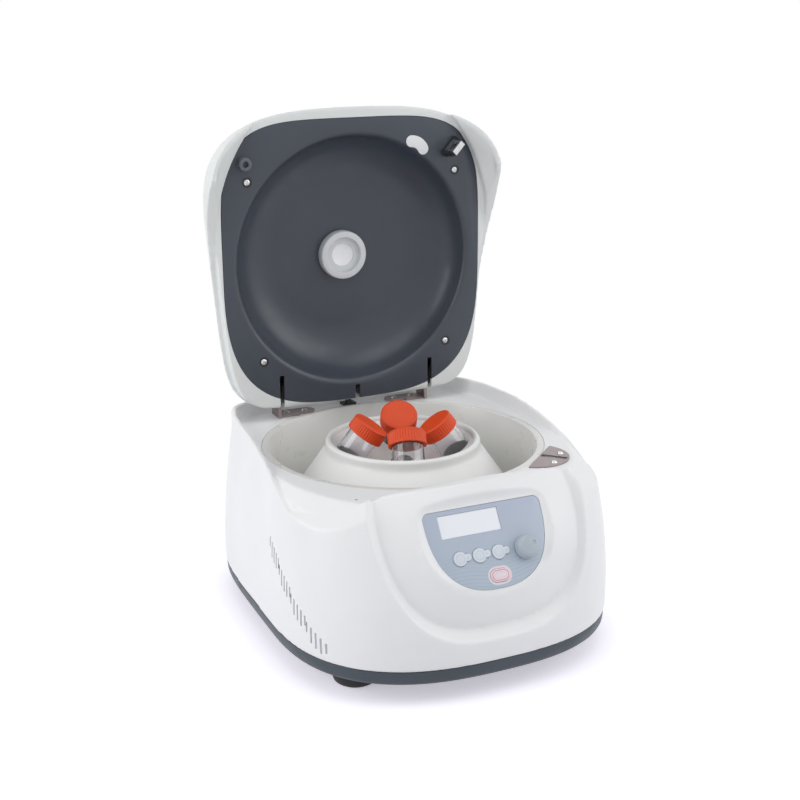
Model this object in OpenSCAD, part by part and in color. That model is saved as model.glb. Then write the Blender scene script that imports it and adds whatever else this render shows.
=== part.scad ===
// Bench centrifuge with a four place fixed angle rotor and a hinged lid.
// Units are millimetres. The origin is on the bench, under the middle of the footprint.
// X points right, Y points to the rear and Z points up.

/* [Housing] */
// Full width of the housing where it meets the tray
body_w = 298; // [292:1:304]
// Full width of the housing at the deck
deck_w = 286; // [282:1:289]
// Shaft to the front of the housing at the tray
front_reach = 193; // [189:1:198]
// Shaft to the front of the housing at the deck
front_top_reach = 150; // [147:1:153]
// Shaft to the rear of the housing at the tray
rear_reach = 160; // [156:1:166]
// Shaft to the rear of the housing at the deck
rear_top_reach = 142; // [141:0.5:145]
// Height of the deck over the bench
deck_h = 160; // [158:1:164]
// Thickness of the moulded housing walls
wall = 4; // [3:0.25:4.25]
// Height of the rear walls over the deck
rim_rise = 16; // [12:1:18]
// Depth of the side notches under the deck
notch_drop = 16; // [12:1:17]
// Shaft to the side notches, along the depth
notch_reach = 85; // [80:1:90]
// Height of the front lip over the deck at the middle
lip_rise = 7; // [5:0.5:7]

/* [Tray and feet] */
// Height of the tray underside over the bench
foot_h = 19; // [16:1:22]
// Height of the tray wall
tray_h = 13; // [11:1:15]
// Thickness of the tray floor
tray_floor = 3; // [2.5:0.25:4]
// Diameter of a foot
foot_d = 42; // [36:1:46]
// Shaft to the feet, along the width
foot_x = 99; // [94:1:103]
// Shaft to the front feet
foot_front = 118; // [112:1:122]
// Shaft to the rear feet
foot_rear = 108; // [100:1:114]

/* [Chamber and rotor] */
// Inner radius of the bowl at the deck
bowl_r = 121; // [119:0.5:122]
// Thickness of the bowl
bowl_t = 2; // [1.5:0.25:2.5]
// Height of the bowl floor over the bench
bowl_floor = 60; // [59:0.5:62]
// Radius of the rotor skirt
rotor_r = 113; // [110:0.5:114]
// Radius of the rotor lip
rotor_lip_r = 70; // [68:0.5:72]
// Height of the rotor lip over the deck
rotor_rise = 4; // [2:0.5:6]
// Tilt of the tubes from the shaft
tube_tilt = 36; // [34:0.5:38]
// Outer diameter of a tube
tube_d = 28.6; // [27:0.2:29.2]
// Length of a tube
tube_len = 114; // [112:0.5:115]
// Diameter of a tube cap
cap_d = 34.4; // [33:0.2:35]
// Height of a tube cap
cap_h = 13; // [11:0.5:15]
// Shaft to the middle of each cap top
cap_reach = 27.6; // [27:0.2:29]
// Height of the cap tops over the deck
cap_rise = 17; // [15:0.5:19]
// Turn of the rotor about its shaft
rotor_turn = 72; // [0:1:90]

/* [Lid] */
// Hinge pin behind the shaft
pivot_y = 122; // [121:0.5:124]
// Hinge pin over the deck
pivot_rise = 26.7; // [26:0.1:28]
// Opening angle at which the lid is drawn
lid_open = 90; // [90:1:90]
// Height of the lid top over the deck
lid_rise = 62; // [60:1:66]
// Gap under the closed liner
liner_gap = 8; // [7:0.25:9]
// Half width of the liner
liner_half = 130; // [127:0.5:130.5]
// Shaft to the front edge of the liner
liner_front = 132; // [130:0.5:133]
// Shaft to the rear edge of the liner
liner_rear = 135.5; // [133:0.5:136]
// Thickness of the liner
liner_t = 2.5; // [2:0.25:3]
// Radius of the dished middle of the liner
dish_r = 115; // [112:0.5:116]
// Depth of the dish
dish_depth = 37; // [34:0.5:39]
// Gap all round between lid and housing
lid_gap = 1.2; // [0.8:0.1:1.5]
// Outer radius of the sight ring
ring_r = 23.3; // [22:0.1:25]
// Distance of each hinge bracket from the middle
hinge_x = 77.3; // [75:0.1:79]
// Diameter of the hinge pins
pin_d = 6; // [5:0.25:7]

/* [Front panel] */
// Lean of the panel from upright
panel_lean = 32; // [30:0.5:33]
// Width of the panel at its top
panel_w = 107; // [103:0.5:108]
// Height of the panel along its face
panel_h = 69; // [67:0.5:70]
// Thickness of the panel
panel_t = 2; // [1.5:0.25:2.5]
// Top edge of the panel in front of the shaft
panel_reach = 149; // [148:0.5:150]
// Top edge of the panel under the deck
panel_drop = 10; // [9:0.5:11]
// Depth of the front recess
recess_d = 6; // [4:0.5:7]
// Width of the display
display_w = 54; // [50:0.5:58]
// Height of the display
display_h = 19; // [17:0.5:21]
// Diameter of a round button
button_d = 11.8; // [11:0.2:12.4]
// Spacing of the round buttons
button_pitch = 17.4; // [17:0.2:18]
// Travel of a button
button_travel = 0.8; // [0.6:0.1:1]
// Diameter of the control knob
knob_d = 20; // [18:0.5:21]
// Height of the control knob
knob_h = 10; // [8:0.5:12]

/* [Latch] */
// Direction of the latch from the shaft, down from the right
latch_turn = 47.8; // [47:0.1:49]
// Shaft to the inner end of the latch slot
slot_in = 129.5; // [129:0.25:130]
// Length of the latch slot
slot_len = 23; // [22.5:0.25:23.5]
// Width of the latch slot
slot_w = 6.4; // [6.2:0.1:7]
// Offset of the slot from the radius
slot_side = 4.5; // [4:0.1:5]
// Drop of the hook under the liner
hook_drop = 21; // [20:0.25:22]
// Travel of the latch bolt
bolt_travel = 9; // [8:0.5:10]

/* [Hidden] */

// Fit clearances
slip = 0.3;
bore_gap = 0.05;
// Height where the housing meets the tray
seam_h = foot_h + tray_h;
mid_y = -50;
// The rotor shaft stands behind the middle of the footprint
shaft_y = (front_reach - rear_reach) / 2;
pivot_z = deck_h + pivot_rise;
liner_z = deck_h + liner_gap;
lid_top = deck_h + lid_rise;
rim_h = deck_h + rim_rise;
notch_h = deck_h - notch_drop;
lip_h = deck_h + lip_rise;
ring_steps = 96;

white_body = [0.93, 0.94, 0.95];
slate = [0.31, 0.34, 0.38];
steel = [0.72, 0.73, 0.75];
bronze_steel = [0.47, 0.42, 0.43];

// The sub-parts are laid out from the shaft and then moved to the origin
module about_shaft() {
    translate([0, shaft_y, 0]) children();
}

function mix(a, b, t) = a + (b - a) * t;
function clamp(t) = max(0, min(1, t));
function signed_pow(v, e) = sign(v) * pow(abs(v), e);
function lift(z) = (z - seam_h) / (deck_h - seam_h);

// Outline of the housing at height z, pulled in by an inset
function front_at(u) = front_reach - (front_reach - front_top_reach) * pow(max(0, u), 2.2);
function rear_at(u) = rear_reach - (rear_reach - rear_top_reach) * pow(clamp(u), 1.5);
function half_at(u) = body_w / 2 - (body_w - deck_w) / 2 * pow(clamp(u), 2);
function rounded(t, half, front, rear, n_front, n_rear, taper) =
    let (c = cos(t), s = sin(t), n = s < 0 ? n_front : n_rear, v = signed_pow(s, 2 / n))
    [signed_pow(c, 2 / n) * half * (1 - taper * max(0, v)),
        mid_y + v * (s < 0 ? front + mid_y : rear - mid_y)];
function housing_ring(z, inset = 0, front_inset = 0, n = ring_steps) =
    let (u = lift(z), w = clamp(u))
    [for (i = [0:n - 1]) let (p = rounded(360 * i / n, half_at(u) - inset,
        front_at(u) - inset - front_inset, rear_at(u) - inset,
        mix(2.6, 3.0, w), mix(5, 8, w), mix(0.02, 0.1, w)))
        [p[0], p[1], z]];

// Solid through a stack of closed rings with equal counts, lowest first
module loft(rings) {
    n = len(rings[0]);
    last = (len(rings) - 1) * n;
    polyhedron(
        points = [for (r = rings) each r],
        faces = concat(
            [[for (i = [0:n - 1]) i]],
            [[for (i = [n - 1:-1:0]) last + i]],
            [for (k = [0:len(rings) - 2]) for (i = [0:n - 1]) let (j = (i + 1) % n)
                [k * n + i, (k + 1) * n + i, (k + 1) * n + j, k * n + j]]));
}

// Height of the side rim along the depth
function side_rim(y) =
    let (flat_y = 45, t = clamp((y + notch_reach) / (flat_y + notch_reach)))
    rim_h - (rim_h - notch_h) * pow(1 - t, 1.95) - 2 * pow(max(0, y - flat_y) / 95, 2);
// Height of the front rim along the width
function front_rim(x) =
    let (a = abs(x), knee = 92, tip = 143)
    a < knee ? lip_h - 3.5 * pow(a / knee, 2)
        : mix(lip_h - 3.5, notch_h, pow((a - knee) / (tip - knee), 0.8));

// Space over the rim line, raised by a gap and by an extra rise towards the rear corners
module above_rim(gap = 0, rear_rise = 0) {
    reach = 260;
    rotate([90, 0, 90]) translate([0, 0, -reach]) linear_extrude(2 * reach)
        polygon(concat(
            [for (i = [0:16]) let (y = mix(-notch_reach, 45, i / 16)) [y, side_rim(y) + gap]],
            [for (i = [1:12]) let (y = mix(45, rear_reach + 20, i / 12))
                [y, side_rim(y) + gap + rear_rise * clamp((y - 98) / 22)]],
            [[rear_reach + 20, deck_h + reach], [-notch_reach, deck_h + reach]]));
    translate([0, -notch_reach, 0]) rotate([90, 0, 0]) linear_extrude(reach)
        polygon(concat(
            [for (i = [-14:14]) let (x = 154 * i / 14) [x, front_rim(x) + gap]],
            [[154, deck_h + reach], [-154, deck_h + reach]]));
}

// Round tapered corner that the deck keeps inside, with facets falling to the notches
corner_r = 155;
corner_x = 19.7;
corner_y = -27.7;
corner_fall = 0.85;
module corner_cone(side, gap = 0) {
    drop = 30;
    translate([side * corner_x, corner_y, deck_h - drop])
        cylinder(r1 = corner_r - gap + drop / corner_fall, r2 = corner_r - gap, h = drop, $fn = 160);
    translate([side * corner_x, corner_y, deck_h])
        cylinder(r = corner_r - gap, h = 80, $fn = 160);
}

// Deck inside the walls, bounded at the front corners by the two cones
module deck_core(grow = 0) {
    intersection() {
        translate([0, 0, deck_h - 40]) linear_extrude(140)
            polygon([for (p = housing_ring(deck_h, wall - grow)) [p[0], p[1]]]);
        union() {
            translate([-200, corner_y, 0]) cube([400, 300, 300]);
            intersection() {
                corner_cone(1, -grow);
                corner_cone(-1, -grow);
            }
        }
    }
}

// Outline with straight top, rounded corners and a full curved bottom
function shield(w, h, corner, grow = 0, n = 2.5, steps = 40) =
    let (a = w / 2 + grow, r = corner + grow)
    concat(
        [for (i = [0:steps]) let (t = 180 + 180 * i / steps)
            [signed_pow(cos(t), 2 / n) * a, -corner + signed_pow(sin(t), 2 / n) * (h - corner + grow)]],
        [for (i = [1:6]) let (t = 90 * i / 6) [a - r + r * cos(t), -corner + r * sin(t)]],
        [for (i = [0:5]) let (t = 90 + 90 * i / 6) [-a + r + r * cos(t), -corner + r * sin(t)]]);

// Places children on the face of the panel, X across, Y up the face, Z outward
module on_panel() {
    translate([0, -panel_reach, deck_h - panel_drop]) rotate([90 - panel_lean, 0, 0]) children();
}

// Shallow recess of the front face, with sloping sides all round
recess_lean = 26;
recess_w = 196;
recess_len = 121;
recess_band = 10;
recess_start = 136;
function recess_line(grow, n = 3.4, steps = 40) =
    [for (i = [0:steps])
        let (t = 180 + 180 * i / steps, v = signed_pow(sin(t), 2 / n) * (recess_len + grow))
        [signed_pow(cos(t), 2 / n) * (recess_w / 2 + grow + 0.13 * v), v]];
module recess_form(extra = 0) {
    translate([0, -recess_start, deck_h]) rotate([90 - recess_lean, 0, 0]) hull() {
        translate([0, 0, -recess_d + 1.5]) linear_extrude(0.1)
            polygon(concat(recess_line(-recess_band - extra), [[recess_w / 2 - recess_band, 40],
                [-recess_w / 2 + recess_band, 40]]));
        translate([0, 0, 2 * recess_d + 1.5]) linear_extrude(0.1)
            polygon(concat(recess_line(2 * recess_band - extra), [[recess_w / 2 + 2 * recess_band, 40],
                [-recess_w / 2 - 2 * recess_band, 40]]));
    }
}

// Rounder face that lies inside the recess and carries the panel
fascia_reach = 187;
fascia_half = 141;
fascia_peak = 85;
function fascia_at(z) = fascia_reach - pow((z - fascia_peak) / 12, 2);
function fascia_ring(z, n = ring_steps) =
    [for (i = [0:n - 1])
        let (p = rounded(360 * i / n, fascia_half, fascia_at(z), 0, 2.2, 2, 0)) [p[0], p[1], z]];

// Rows of upright slits in the side walls
vent_w = 2;
vent_pitch = 5;
module side_vents() {
    for (side = [-1, 1], group = [0:3], k = [0:4]) {
        y = -52 - 22 * group - vent_pitch * k;
        len = k == 0 || k == 4 ? 9 : 14;
        translate([side * body_w / 2 - 14, y, deck_h - 48 - 17 * group - 3 * k - len])
            cube([28, vent_w, len]);
    }
}

// Rear connector bay and rear louvres
bay_x = 50;
bay_w = 76;
bay_h = 46;
bay_z = 46;
bay_y = 148;
bay_t = 5;
inlet_x = 34;
inlet_w = 27.4;
inlet_h = 20;
inlet_z = bay_z + bay_h / 2;
rocker_x = 72;
rocker_w = 13;
rocker_h = 19.6;
louvre_count = 9;
module rear_openings() {
    translate([bay_x - bay_w / 2, bay_y, bay_z]) cube([bay_w, 30, bay_h]);
    translate([inlet_x - inlet_w / 2, bay_y - 30, inlet_z - inlet_h / 2]) cube([inlet_w, 60, inlet_h]);
    translate([rocker_x - rocker_w / 2, bay_y - 30, inlet_z - rocker_h / 2]) cube([rocker_w, 60, rocker_h]);
    for (i = [0:louvre_count - 1])
        translate([-108 + 9 * i, rear_reach - 20, 50]) cube([3, 40, 40]);
}

// Screw positions that join tray and housing
screw_spots = [[8.5, -62], [12, 62]];
module at_screws() {
    for (side = [-1, 1], s = screw_spots) translate([side * (body_w / 2 - s[0]), s[1], 0]) children();
}

front_skin = 12;
panel_ledge = 4;
seat_band = 14;
seat_rise = 10;
cavity_z = notch_h - wall - 2;
flange_w = 6.5;
flange_t = 1.5;
module main_housing() color(white_body) about_shaft() difference() {
    union() {
        difference() {
            union() {
                difference() {
                    loft([for (z = [seam_h, 44, 58, 74, 90, 104, 118, 130, 140, 150, 160, 168, 178])
                        housing_ring(z)]);
                    recess_form();
                }
                intersection() {
                    loft([for (z = [40, 56, 70, 84, 97, 110, 122, 133, 143, 153, 163, 174])
                        fascia_ring(z)]);
                    recess_form(0.1);
                    translate([-200, -260, 0]) cube([400, 260 - recess_start + 14, 400]);
                }
            }
            // Hollow inside of the housing
            intersection() {
                loft([for (z = [seam_h - 1, 58, 90, 118, 140, deck_h - wall])
                    housing_ring(z, wall, front_skin, 64)]);
                union() {
                    translate([-200, -200, 0]) cube([400, 400, cavity_z]);
                    deck_core(-2.5);
                }
            }
        }
        // Flat inner wall behind the rear bay
        translate([bay_x - bay_w / 2 - 4, bay_y - bay_t, bay_z - 4]) cube([bay_w + 8, bay_t, bay_h + 8]);
        at_screws() translate([0, 0, seam_h]) cylinder(r = 5, h = 40);
    }
    // Walls and front lip end at the rim line, the deck inside them stays
    difference() {
        above_rim();
        intersection() {
            deck_core();
            translate([-200, -200, 0]) cube([400, 400, deck_h]);
        }
    }
    // Deck sunk between the walls
    intersection() {
        deck_core();
        translate([-200, -bowl_r - 9, deck_h]) cube([400, 400, 100]);
    }
    // Facets that fall from the deck to the notches
    for (side = [-1, 1]) difference() {
        union() {
            translate([side * 145 - 60, -220, deck_h - 20]) cube([120, 220 - notch_reach, 80]);
            intersection() {
                translate([side * 145 - 60, -notch_reach - 1, deck_h - 20])
                    cube([120, notch_reach + 1 + corner_y, 80]);
                translate([0, 0, deck_h - 40]) linear_extrude(140)
                    polygon([for (p = housing_ring(deck_h, wall)) [p[0], p[1]]]);
            }
        }
        corner_cone(-side);
    }
    // Bowl opening with its rebate
    translate([0, 0, deck_h - 20]) cylinder(r = bowl_r + bowl_t + slip, h = 40);
    translate([0, 0, deck_h - flange_t]) cylinder(r = bowl_r + flange_w + slip, h = 20);
    // Panel seat and the opening behind it
    on_panel() translate([0, 0, -panel_t]) linear_extrude(40) polygon(shield(panel_w, panel_h, 6, 0.2));
    on_panel() loft([for (k = [0:5])
        let (g = 0.4 + seat_band * k / 5, d = seat_rise * (1 - cos(90 * k / 5)) + 0.2)
        [for (p = shield(panel_w, panel_h, 6, g)) [p[0], p[1], d]]]);
    on_panel() translate([0, 0, -16]) linear_extrude(20) polygon(shield(panel_w, panel_h, 6, -panel_ledge));
    side_vents();
    rear_openings();
    at_screws() translate([0, 0, seam_h - 1]) cylinder(r = 1.6, h = 22);
    // Slot for the lid hook
    on_latch() translate([slot_in - 0.5, slot_side - slot_w / 2 - 0.5, deck_h - 10])
        cube([slot_len + 1, slot_w + 1, 20]);
    on_latch() for (p = strike_holes) translate([p[0], p[1], deck_h - 8]) cylinder(r = 1.3, h = 20);
    for (side = [-1, 1], dx = bracket_holes)
        translate([side * (foot_plate_x + dx), foot_plate_y, deck_h - 8]) cylinder(r = 1.3, h = 20);
    // Small drain hole at the front left of the deck
    translate([-96, -119, deck_h - 10]) cylinder(r = 1.5, h = 20);
}

module base_tray() color(slate) about_shaft() difference() {
    union() {
        difference() {
            loft([housing_ring(foot_h, 5), housing_ring(foot_h + 1.5, 2.5), housing_ring(foot_h + 4, 1.2),
                housing_ring(seam_h, 0.6)]);
            loft([housing_ring(foot_h + tray_floor, wall + 1, 0, 64),
                housing_ring(seam_h + 1, wall + 1, 0, 64)]);
        }
        // Posts under the screws and the rubber mounts
        at_screws() translate([0, 0, foot_h + 1]) cylinder(r = 5, h = tray_h - 1);
        at_dampers() translate([0, 0, foot_h + 1]) cylinder(r = 9, h = tray_floor);
        at_feet() translate([0, 0, foot_h + 1]) cylinder(r = 8, h = 9);
        at_board_posts() translate([0, 0, foot_h + 1]) cylinder(r = 3, h = board_z - foot_h - 1);
    }
    at_screws() {
        translate([0, 0, foot_h - 1]) cylinder(r = 4, h = 5);
        translate([0, 0, foot_h - 1]) cylinder(r = 1.9, h = 40);
    }
    at_feet() translate([0, 0, foot_h - 1]) cylinder(r = 1.6, h = 9);
}

module at_feet() {
    for (side = [-1, 1], y = [-foot_front, foot_rear]) translate([side * foot_x, y, 0]) children();
}

// Cup shaped rubber foot with a sunk screw seat
module feet() color([0.1, 0.1, 0.11]) about_shaft() at_feet() difference() {
    rotate_extrude($fn = 64) polygon([[0, 0], [foot_d / 2 - 7, 0], [foot_d / 2 - 3, 2.5],
        [foot_d / 2 - 0.8, 7], [foot_d / 2, 12], [foot_d / 2 - 1.5, 16], [foot_d / 2 - 7, foot_h],
        [0, foot_h]]);
    translate([0, 0, -1]) cylinder(r = 5, h = 9);
    translate([0, 0, -1]) cylinder(r = 2.1, h = foot_h + 2);
}

module tray_screws() color(steel) about_shaft() {
    at_feet() {
        translate([0, 0, 5]) cylinder(r = 4, h = 3);
        translate([0, 0, 7]) cylinder(r = 1.55, h = foot_h - 1);
    }
    at_screws() {
        translate([0, 0, foot_h + 1]) cylinder(r = 3.5, h = 3);
        translate([0, 0, foot_h + 3]) cylinder(r = 1.55, h = 26);
    }
}

// Spun bowl with a flat flange that lies in the deck
seal_r = 22;
module chamber_bowl() color([0.92, 0.92, 0.9]) about_shaft() {
    corner = 20;
    wall_h = deck_h - bowl_floor - corner + bowl_t;
    difference() {
        rotate_extrude($fn = 160) difference() {
            union() {
                translate([0, bowl_floor - bowl_t])
                    square([bowl_r + bowl_t - corner, bowl_t]);
                translate([bowl_r - 3, bowl_floor + corner - bowl_t]) polygon([[0, 0], [bowl_t, 0],
                    [3 + bowl_t, wall_h - 2], [3 + bowl_t, wall_h], [3, wall_h]]);
                intersection() {
                    translate([bowl_r - 3 + bowl_t - corner, bowl_floor + corner - bowl_t]) difference() {
                        circle(r = corner, $fn = 64);
                        circle(r = corner - bowl_t, $fn = 64);
                    }
                    translate([bowl_r - 3 + bowl_t - corner, bowl_floor - bowl_t]) square([corner, corner]);
                }
                translate([bowl_r, deck_h - flange_t]) square([flange_w, flange_t]);
            }
            translate([-1, 0]) square([seal_r + 1, deck_h]);
        }
    }
}

module shaft_seal() color([0.12, 0.12, 0.13]) about_shaft() rotate_extrude($fn = 64)
    polygon([[nose_r + slip, bowl_floor + 0.2], [seal_r + 5, bowl_floor + 0.2], [seal_r + 5, bowl_floor + 2],
        [nose_r + 3, bowl_floor + 3.5], [nose_r + slip, bowl_floor + 3.5]]);

// Drive under the bowl
motor_r = 44;
nose_r = 17;
plate_z = foot_h + tray_floor + 9;
plate_t = 3;
damper_ring = 58;
shaft_r = 5;
shaft_foot = 42;
hub_top = 130;
module motor() color([0.25, 0.26, 0.28]) about_shaft() difference() {
    union() {
        translate([0, 0, plate_z + plate_t])
            cylinder(r = motor_r, h = bowl_floor - bowl_t - 2 - plate_z - plate_t);
        translate([0, 0, plate_z + plate_t]) cylinder(r = nose_r, h = bowl_floor + 3 - plate_z - plate_t);
    }
    translate([0, 0, shaft_foot - 0.5]) cylinder(r = shaft_r + bore_gap, h = 60);
    for (i = [0:11]) rotate([0, 0, 30 * i])
        translate([motor_r - 2, -2, plate_z + plate_t + 4]) cube([6, 4, 12]);
}

module at_dampers() {
    for (a = [30, 150, 270]) rotate([0, 0, a]) translate([damper_ring, 0, 0]) children();
}

module motor_plate() color(steel) about_shaft() difference() {
    union() {
        translate([0, 0, plate_z]) cylinder(r = 48, h = plate_t);
        for (a = [30, 150, 270]) rotate([0, 0, a])
            translate([0, -9, plate_z]) cube([damper_ring, 18, plate_t]);
        at_dampers() translate([0, 0, plate_z]) cylinder(r = 9, h = plate_t);
    }
    at_dampers() translate([0, 0, plate_z - 1]) cylinder(r = 4.2, h = 10);
}

module dampers() color([0.13, 0.13, 0.14]) about_shaft() at_dampers() {
    translate([0, 0, foot_h + tray_floor + 1]) cylinder(r = 8, h = plate_z - foot_h - tray_floor - 1);
    translate([0, 0, plate_z - 1]) cylinder(r = 4, h = plate_t + 1.5);
    translate([0, 0, plate_z + plate_t]) cylinder(r = 6.5, h = 1.5);
}

module motor_shaft() color(steel) about_shaft() {
    translate([0, 0, shaft_foot]) cylinder(r = shaft_r, h = hub_top + 7 - shaft_foot);
    translate([0, 0, bowl_floor + 5]) cylinder(r = 9, h = 7);
}

// Places children on a tube axis, with the cap top at zero and the tube hanging down
module on_tube(k) {
    rotate([0, 0, rotor_turn + 90 * k]) translate([cap_reach, 0, deck_h + cap_rise])
        rotate([0, -tube_tilt, 0]) children();
}

// Conical rotor with a dished top and four slanting bores
lip_z = deck_h + rotor_rise;
skirt_z = bowl_floor + 14;
cap_top_t = 1.8;
tip_len = 14;
module rotor() color([0.93, 0.93, 0.92]) about_shaft() difference() {
    rotate_extrude($fn = 128) polygon(concat(
        [[shaft_r + bore_gap, skirt_z - 1], [18, skirt_z - 1], [22, skirt_z + 26], [56, skirt_z + 26],
            [66, skirt_z + 8], [rotor_r - 6, skirt_z], [rotor_r - 1.5, skirt_z]],
        [[rotor_r, skirt_z + 2], [rotor_r, skirt_z + 20], [rotor_r - 2, skirt_z + 24]],
        [[rotor_lip_r + 2, lip_z - 11], [rotor_lip_r, lip_z - 7], [rotor_lip_r, lip_z - 2]],
        [for (t = [20:20:160]) [rotor_lip_r - 3 + 3 * cos(t), lip_z - 3 + 3 * sin(t)]],
        [[rotor_lip_r - 6.5, lip_z - 4], [22, hub_top + 1.5], [20, hub_top], [shaft_r + bore_gap, hub_top]]));
    for (k = [0:3]) on_tube(k) {
        translate([0, 0, -cap_top_t - tube_len + tip_len]) cylinder(r = tube_d / 2 + slip, h = tube_len);
        translate([0, 0, -cap_top_t - tube_len - 0.5])
            cylinder(r1 = 3.4, r2 = tube_d / 2 + slip, h = tip_len + 0.51);
    }
}

module rotor_nut() color([0.35, 0.36, 0.38]) about_shaft() difference() {
    union() {
        translate([0, 0, hub_top]) cylinder(r = 12, h = 3);
        translate([0, 0, hub_top + 3]) linear_extrude(9)
            polygon([for (i = [0:47]) let (r = i % 4 < 2 ? 11 : 10.2) [r * cos(7.5 * i), r * sin(7.5 * i)]]);
        translate([0, 0, hub_top + 12]) cylinder(r1 = 10, r2 = 8, h = 2);
    }
    translate([0, 0, hub_top - 1]) cylinder(r = shaft_r + bore_gap, h = 8.5);
}

// Clear centrifuge tube, open under its cap
module tube(k) color([0.85, 0.88, 0.92, 0.5]) about_shaft() on_tube(k) rotate_extrude($fn = 64) polygon([
    [0, -cap_top_t - tube_len], [3.2, -cap_top_t - tube_len], [tube_d / 2, -cap_top_t - tube_len + tip_len],
    [tube_d / 2, -cap_top_t], [tube_d / 2 - 1, -cap_top_t], [tube_d / 2 - 1, -cap_top_t - tube_len + tip_len],
    [2.2, -cap_top_t - tube_len + 1.2], [0, -cap_top_t - tube_len + 1.2]]);
module tube_1() tube(0);
module tube_2() tube(1);
module tube_3() tube(2);
module tube_4() tube(3);

// Ribbed screw cap
cap_ribs = 36;
module cap(k) color([0.88, 0.35, 0.16]) about_shaft() on_tube(k) difference() {
    union() {
        translate([0, 0, -cap_h]) linear_extrude(cap_h - 1.2) polygon([for (i = [0:2 * cap_ribs - 1])
            let (r = cap_d / 2 - (i % 2) * 0.7) [r * cos(180 * i / cap_ribs), r * sin(180 * i / cap_ribs)]]);
        translate([0, 0, -1.21]) cylinder(r1 = cap_d / 2 - 0.5, r2 = cap_d / 2 - 1.7, h = 1.21);
    }
    translate([0, 0, -cap_h - 1]) cylinder(r = tube_d / 2 + bore_gap, h = cap_h + 1 - cap_top_t + 0.05);
}
module cap_1() cap(0);
module cap_2() cap(1);
module cap_3() cap(2);
module cap_4() cap(3);

// Front panel and what it carries
display_x = -13.4;
display_y = -3.8;
button_x = -29.1;
button_y = -40.4;
key_x = 2.1;
key_y = -58.9;
key_w = 17;
key_h = 10.4;
knob_x = 30.5;
knob_y = -40.8;
module button_form(grow = 0) {
    circle(d = button_d + 2 * grow, $fn = 48);
    translate([6.8, 0.3]) circle(d = 6.2 + 2 * grow, $fn = 32);
}
module key_form(grow = 0) {
    for (s = [-1, 1]) translate([s * (key_w - key_h) / 2, 0]) circle(d = key_h + 2 * grow, $fn = 48);
    square([key_w - key_h, key_h + 2 * grow], center = true);
}
module control_panel() color([0.69, 0.74, 0.8]) about_shaft() on_panel() difference() {
    translate([0, 0, -panel_t]) linear_extrude(panel_t) polygon(shield(panel_w, panel_h, 6));
    translate([display_x - display_w / 2, display_y - display_h, -panel_t - 1])
        cube([display_w, display_h, panel_t + 2]);
    for (i = [0:2]) translate([button_x + button_pitch * i, button_y, -panel_t - 1])
        linear_extrude(panel_t + 2) button_form(slip);
    translate([key_x, key_y, -panel_t - 1]) linear_extrude(panel_t + 2) key_form(slip);
    translate([knob_x, knob_y, -panel_t - 1]) cylinder(r = 4, h = panel_t + 2);
}
module display_window() color([0.9, 0.93, 0.98]) about_shaft() on_panel()
    translate([display_x - display_w / 2 + 0.1, display_y - display_h + 0.1, -panel_t])
        cube([display_w - 0.2, display_h - 0.2, panel_t - 0.3]);
board_gap = 9;
module display_module() color([0.2, 0.3, 0.25]) about_shaft() on_panel()
    translate([display_x - display_w / 2 - 2, display_y - display_h, -board_gap])
        cube([display_w + 4, display_h - 2.2, board_gap - panel_t]);
module control_board() color([0.1, 0.4, 0.25]) about_shaft() on_panel() difference() {
    translate([0, 0, -board_gap - 1.6]) linear_extrude(1.6) polygon(shield(panel_w, panel_h, 6, -6));
    translate([knob_x, knob_y, -board_gap - 3]) cylinder(r = 1, h = 5);
}
module button(i) color([0.83, 0.87, 0.9]) about_shaft() on_panel()
    translate([button_x + button_pitch * i, button_y, 0]) {
        translate([0, 0, -panel_t - 1]) linear_extrude(panel_t + 2.2) button_form();
        translate([0, 0, -board_gap + button_travel + 0.4])
            cylinder(d = 4, h = board_gap - panel_t - button_travel - 1);
    }
module button_left() button(0);
module button_middle() button(1);
module button_right() button(2);
module start_key() color([0.85, 0.75, 0.78]) about_shaft() on_panel() translate([key_x, key_y, 0]) {
    translate([0, 0, -panel_t - 1]) linear_extrude(panel_t + 2.2) key_form();
    translate([0, 0, -board_gap + button_travel + 0.4])
        cylinder(d = 4, h = board_gap - panel_t - button_travel - 1);
}
module encoder() color([0.3, 0.32, 0.34])
    about_shaft() on_panel() translate([knob_x, knob_y, 0]) difference() {
    union() {
        translate([-6, -6, -board_gap]) cube([12, 12, board_gap - panel_t - 0.5]);
        translate([0, 0, -panel_t - 1]) cylinder(r = 3.5, h = panel_t + 0.8);
    }
    translate([0, 0, -board_gap + 1]) cylinder(r = 2 + bore_gap, h = 20);
}
module knob() color([0.5, 0.55, 0.6]) about_shaft() on_panel() translate([knob_x, knob_y, 0]) {
    translate([0, 0, -board_gap + 1.2]) cylinder(r = 2, h = board_gap + 1);
    difference() {
        rotate_extrude($fn = 96) polygon(concat([[0, 0.5], [knob_d / 2 - 0.4, 0.5], [knob_d / 2, 1]],
            [[knob_d / 2 - 0.6, knob_h - 3.5]],
            [for (t = [20:14:90]) [knob_d / 2 - 4.1 + 3.5 * cos(t), knob_h - 3.5 + 3 * sin(t)]],
            [[0, knob_h]]));
        translate([4.6, 2, knob_h + 1.2]) sphere(r = 2.4, $fn = 32);
        translate([0, 0, -1]) cylinder(r = 4.5, h = 2.5);
    }
    translate([0, 0, -1]) cylinder(r = 2, h = 5);
}

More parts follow.
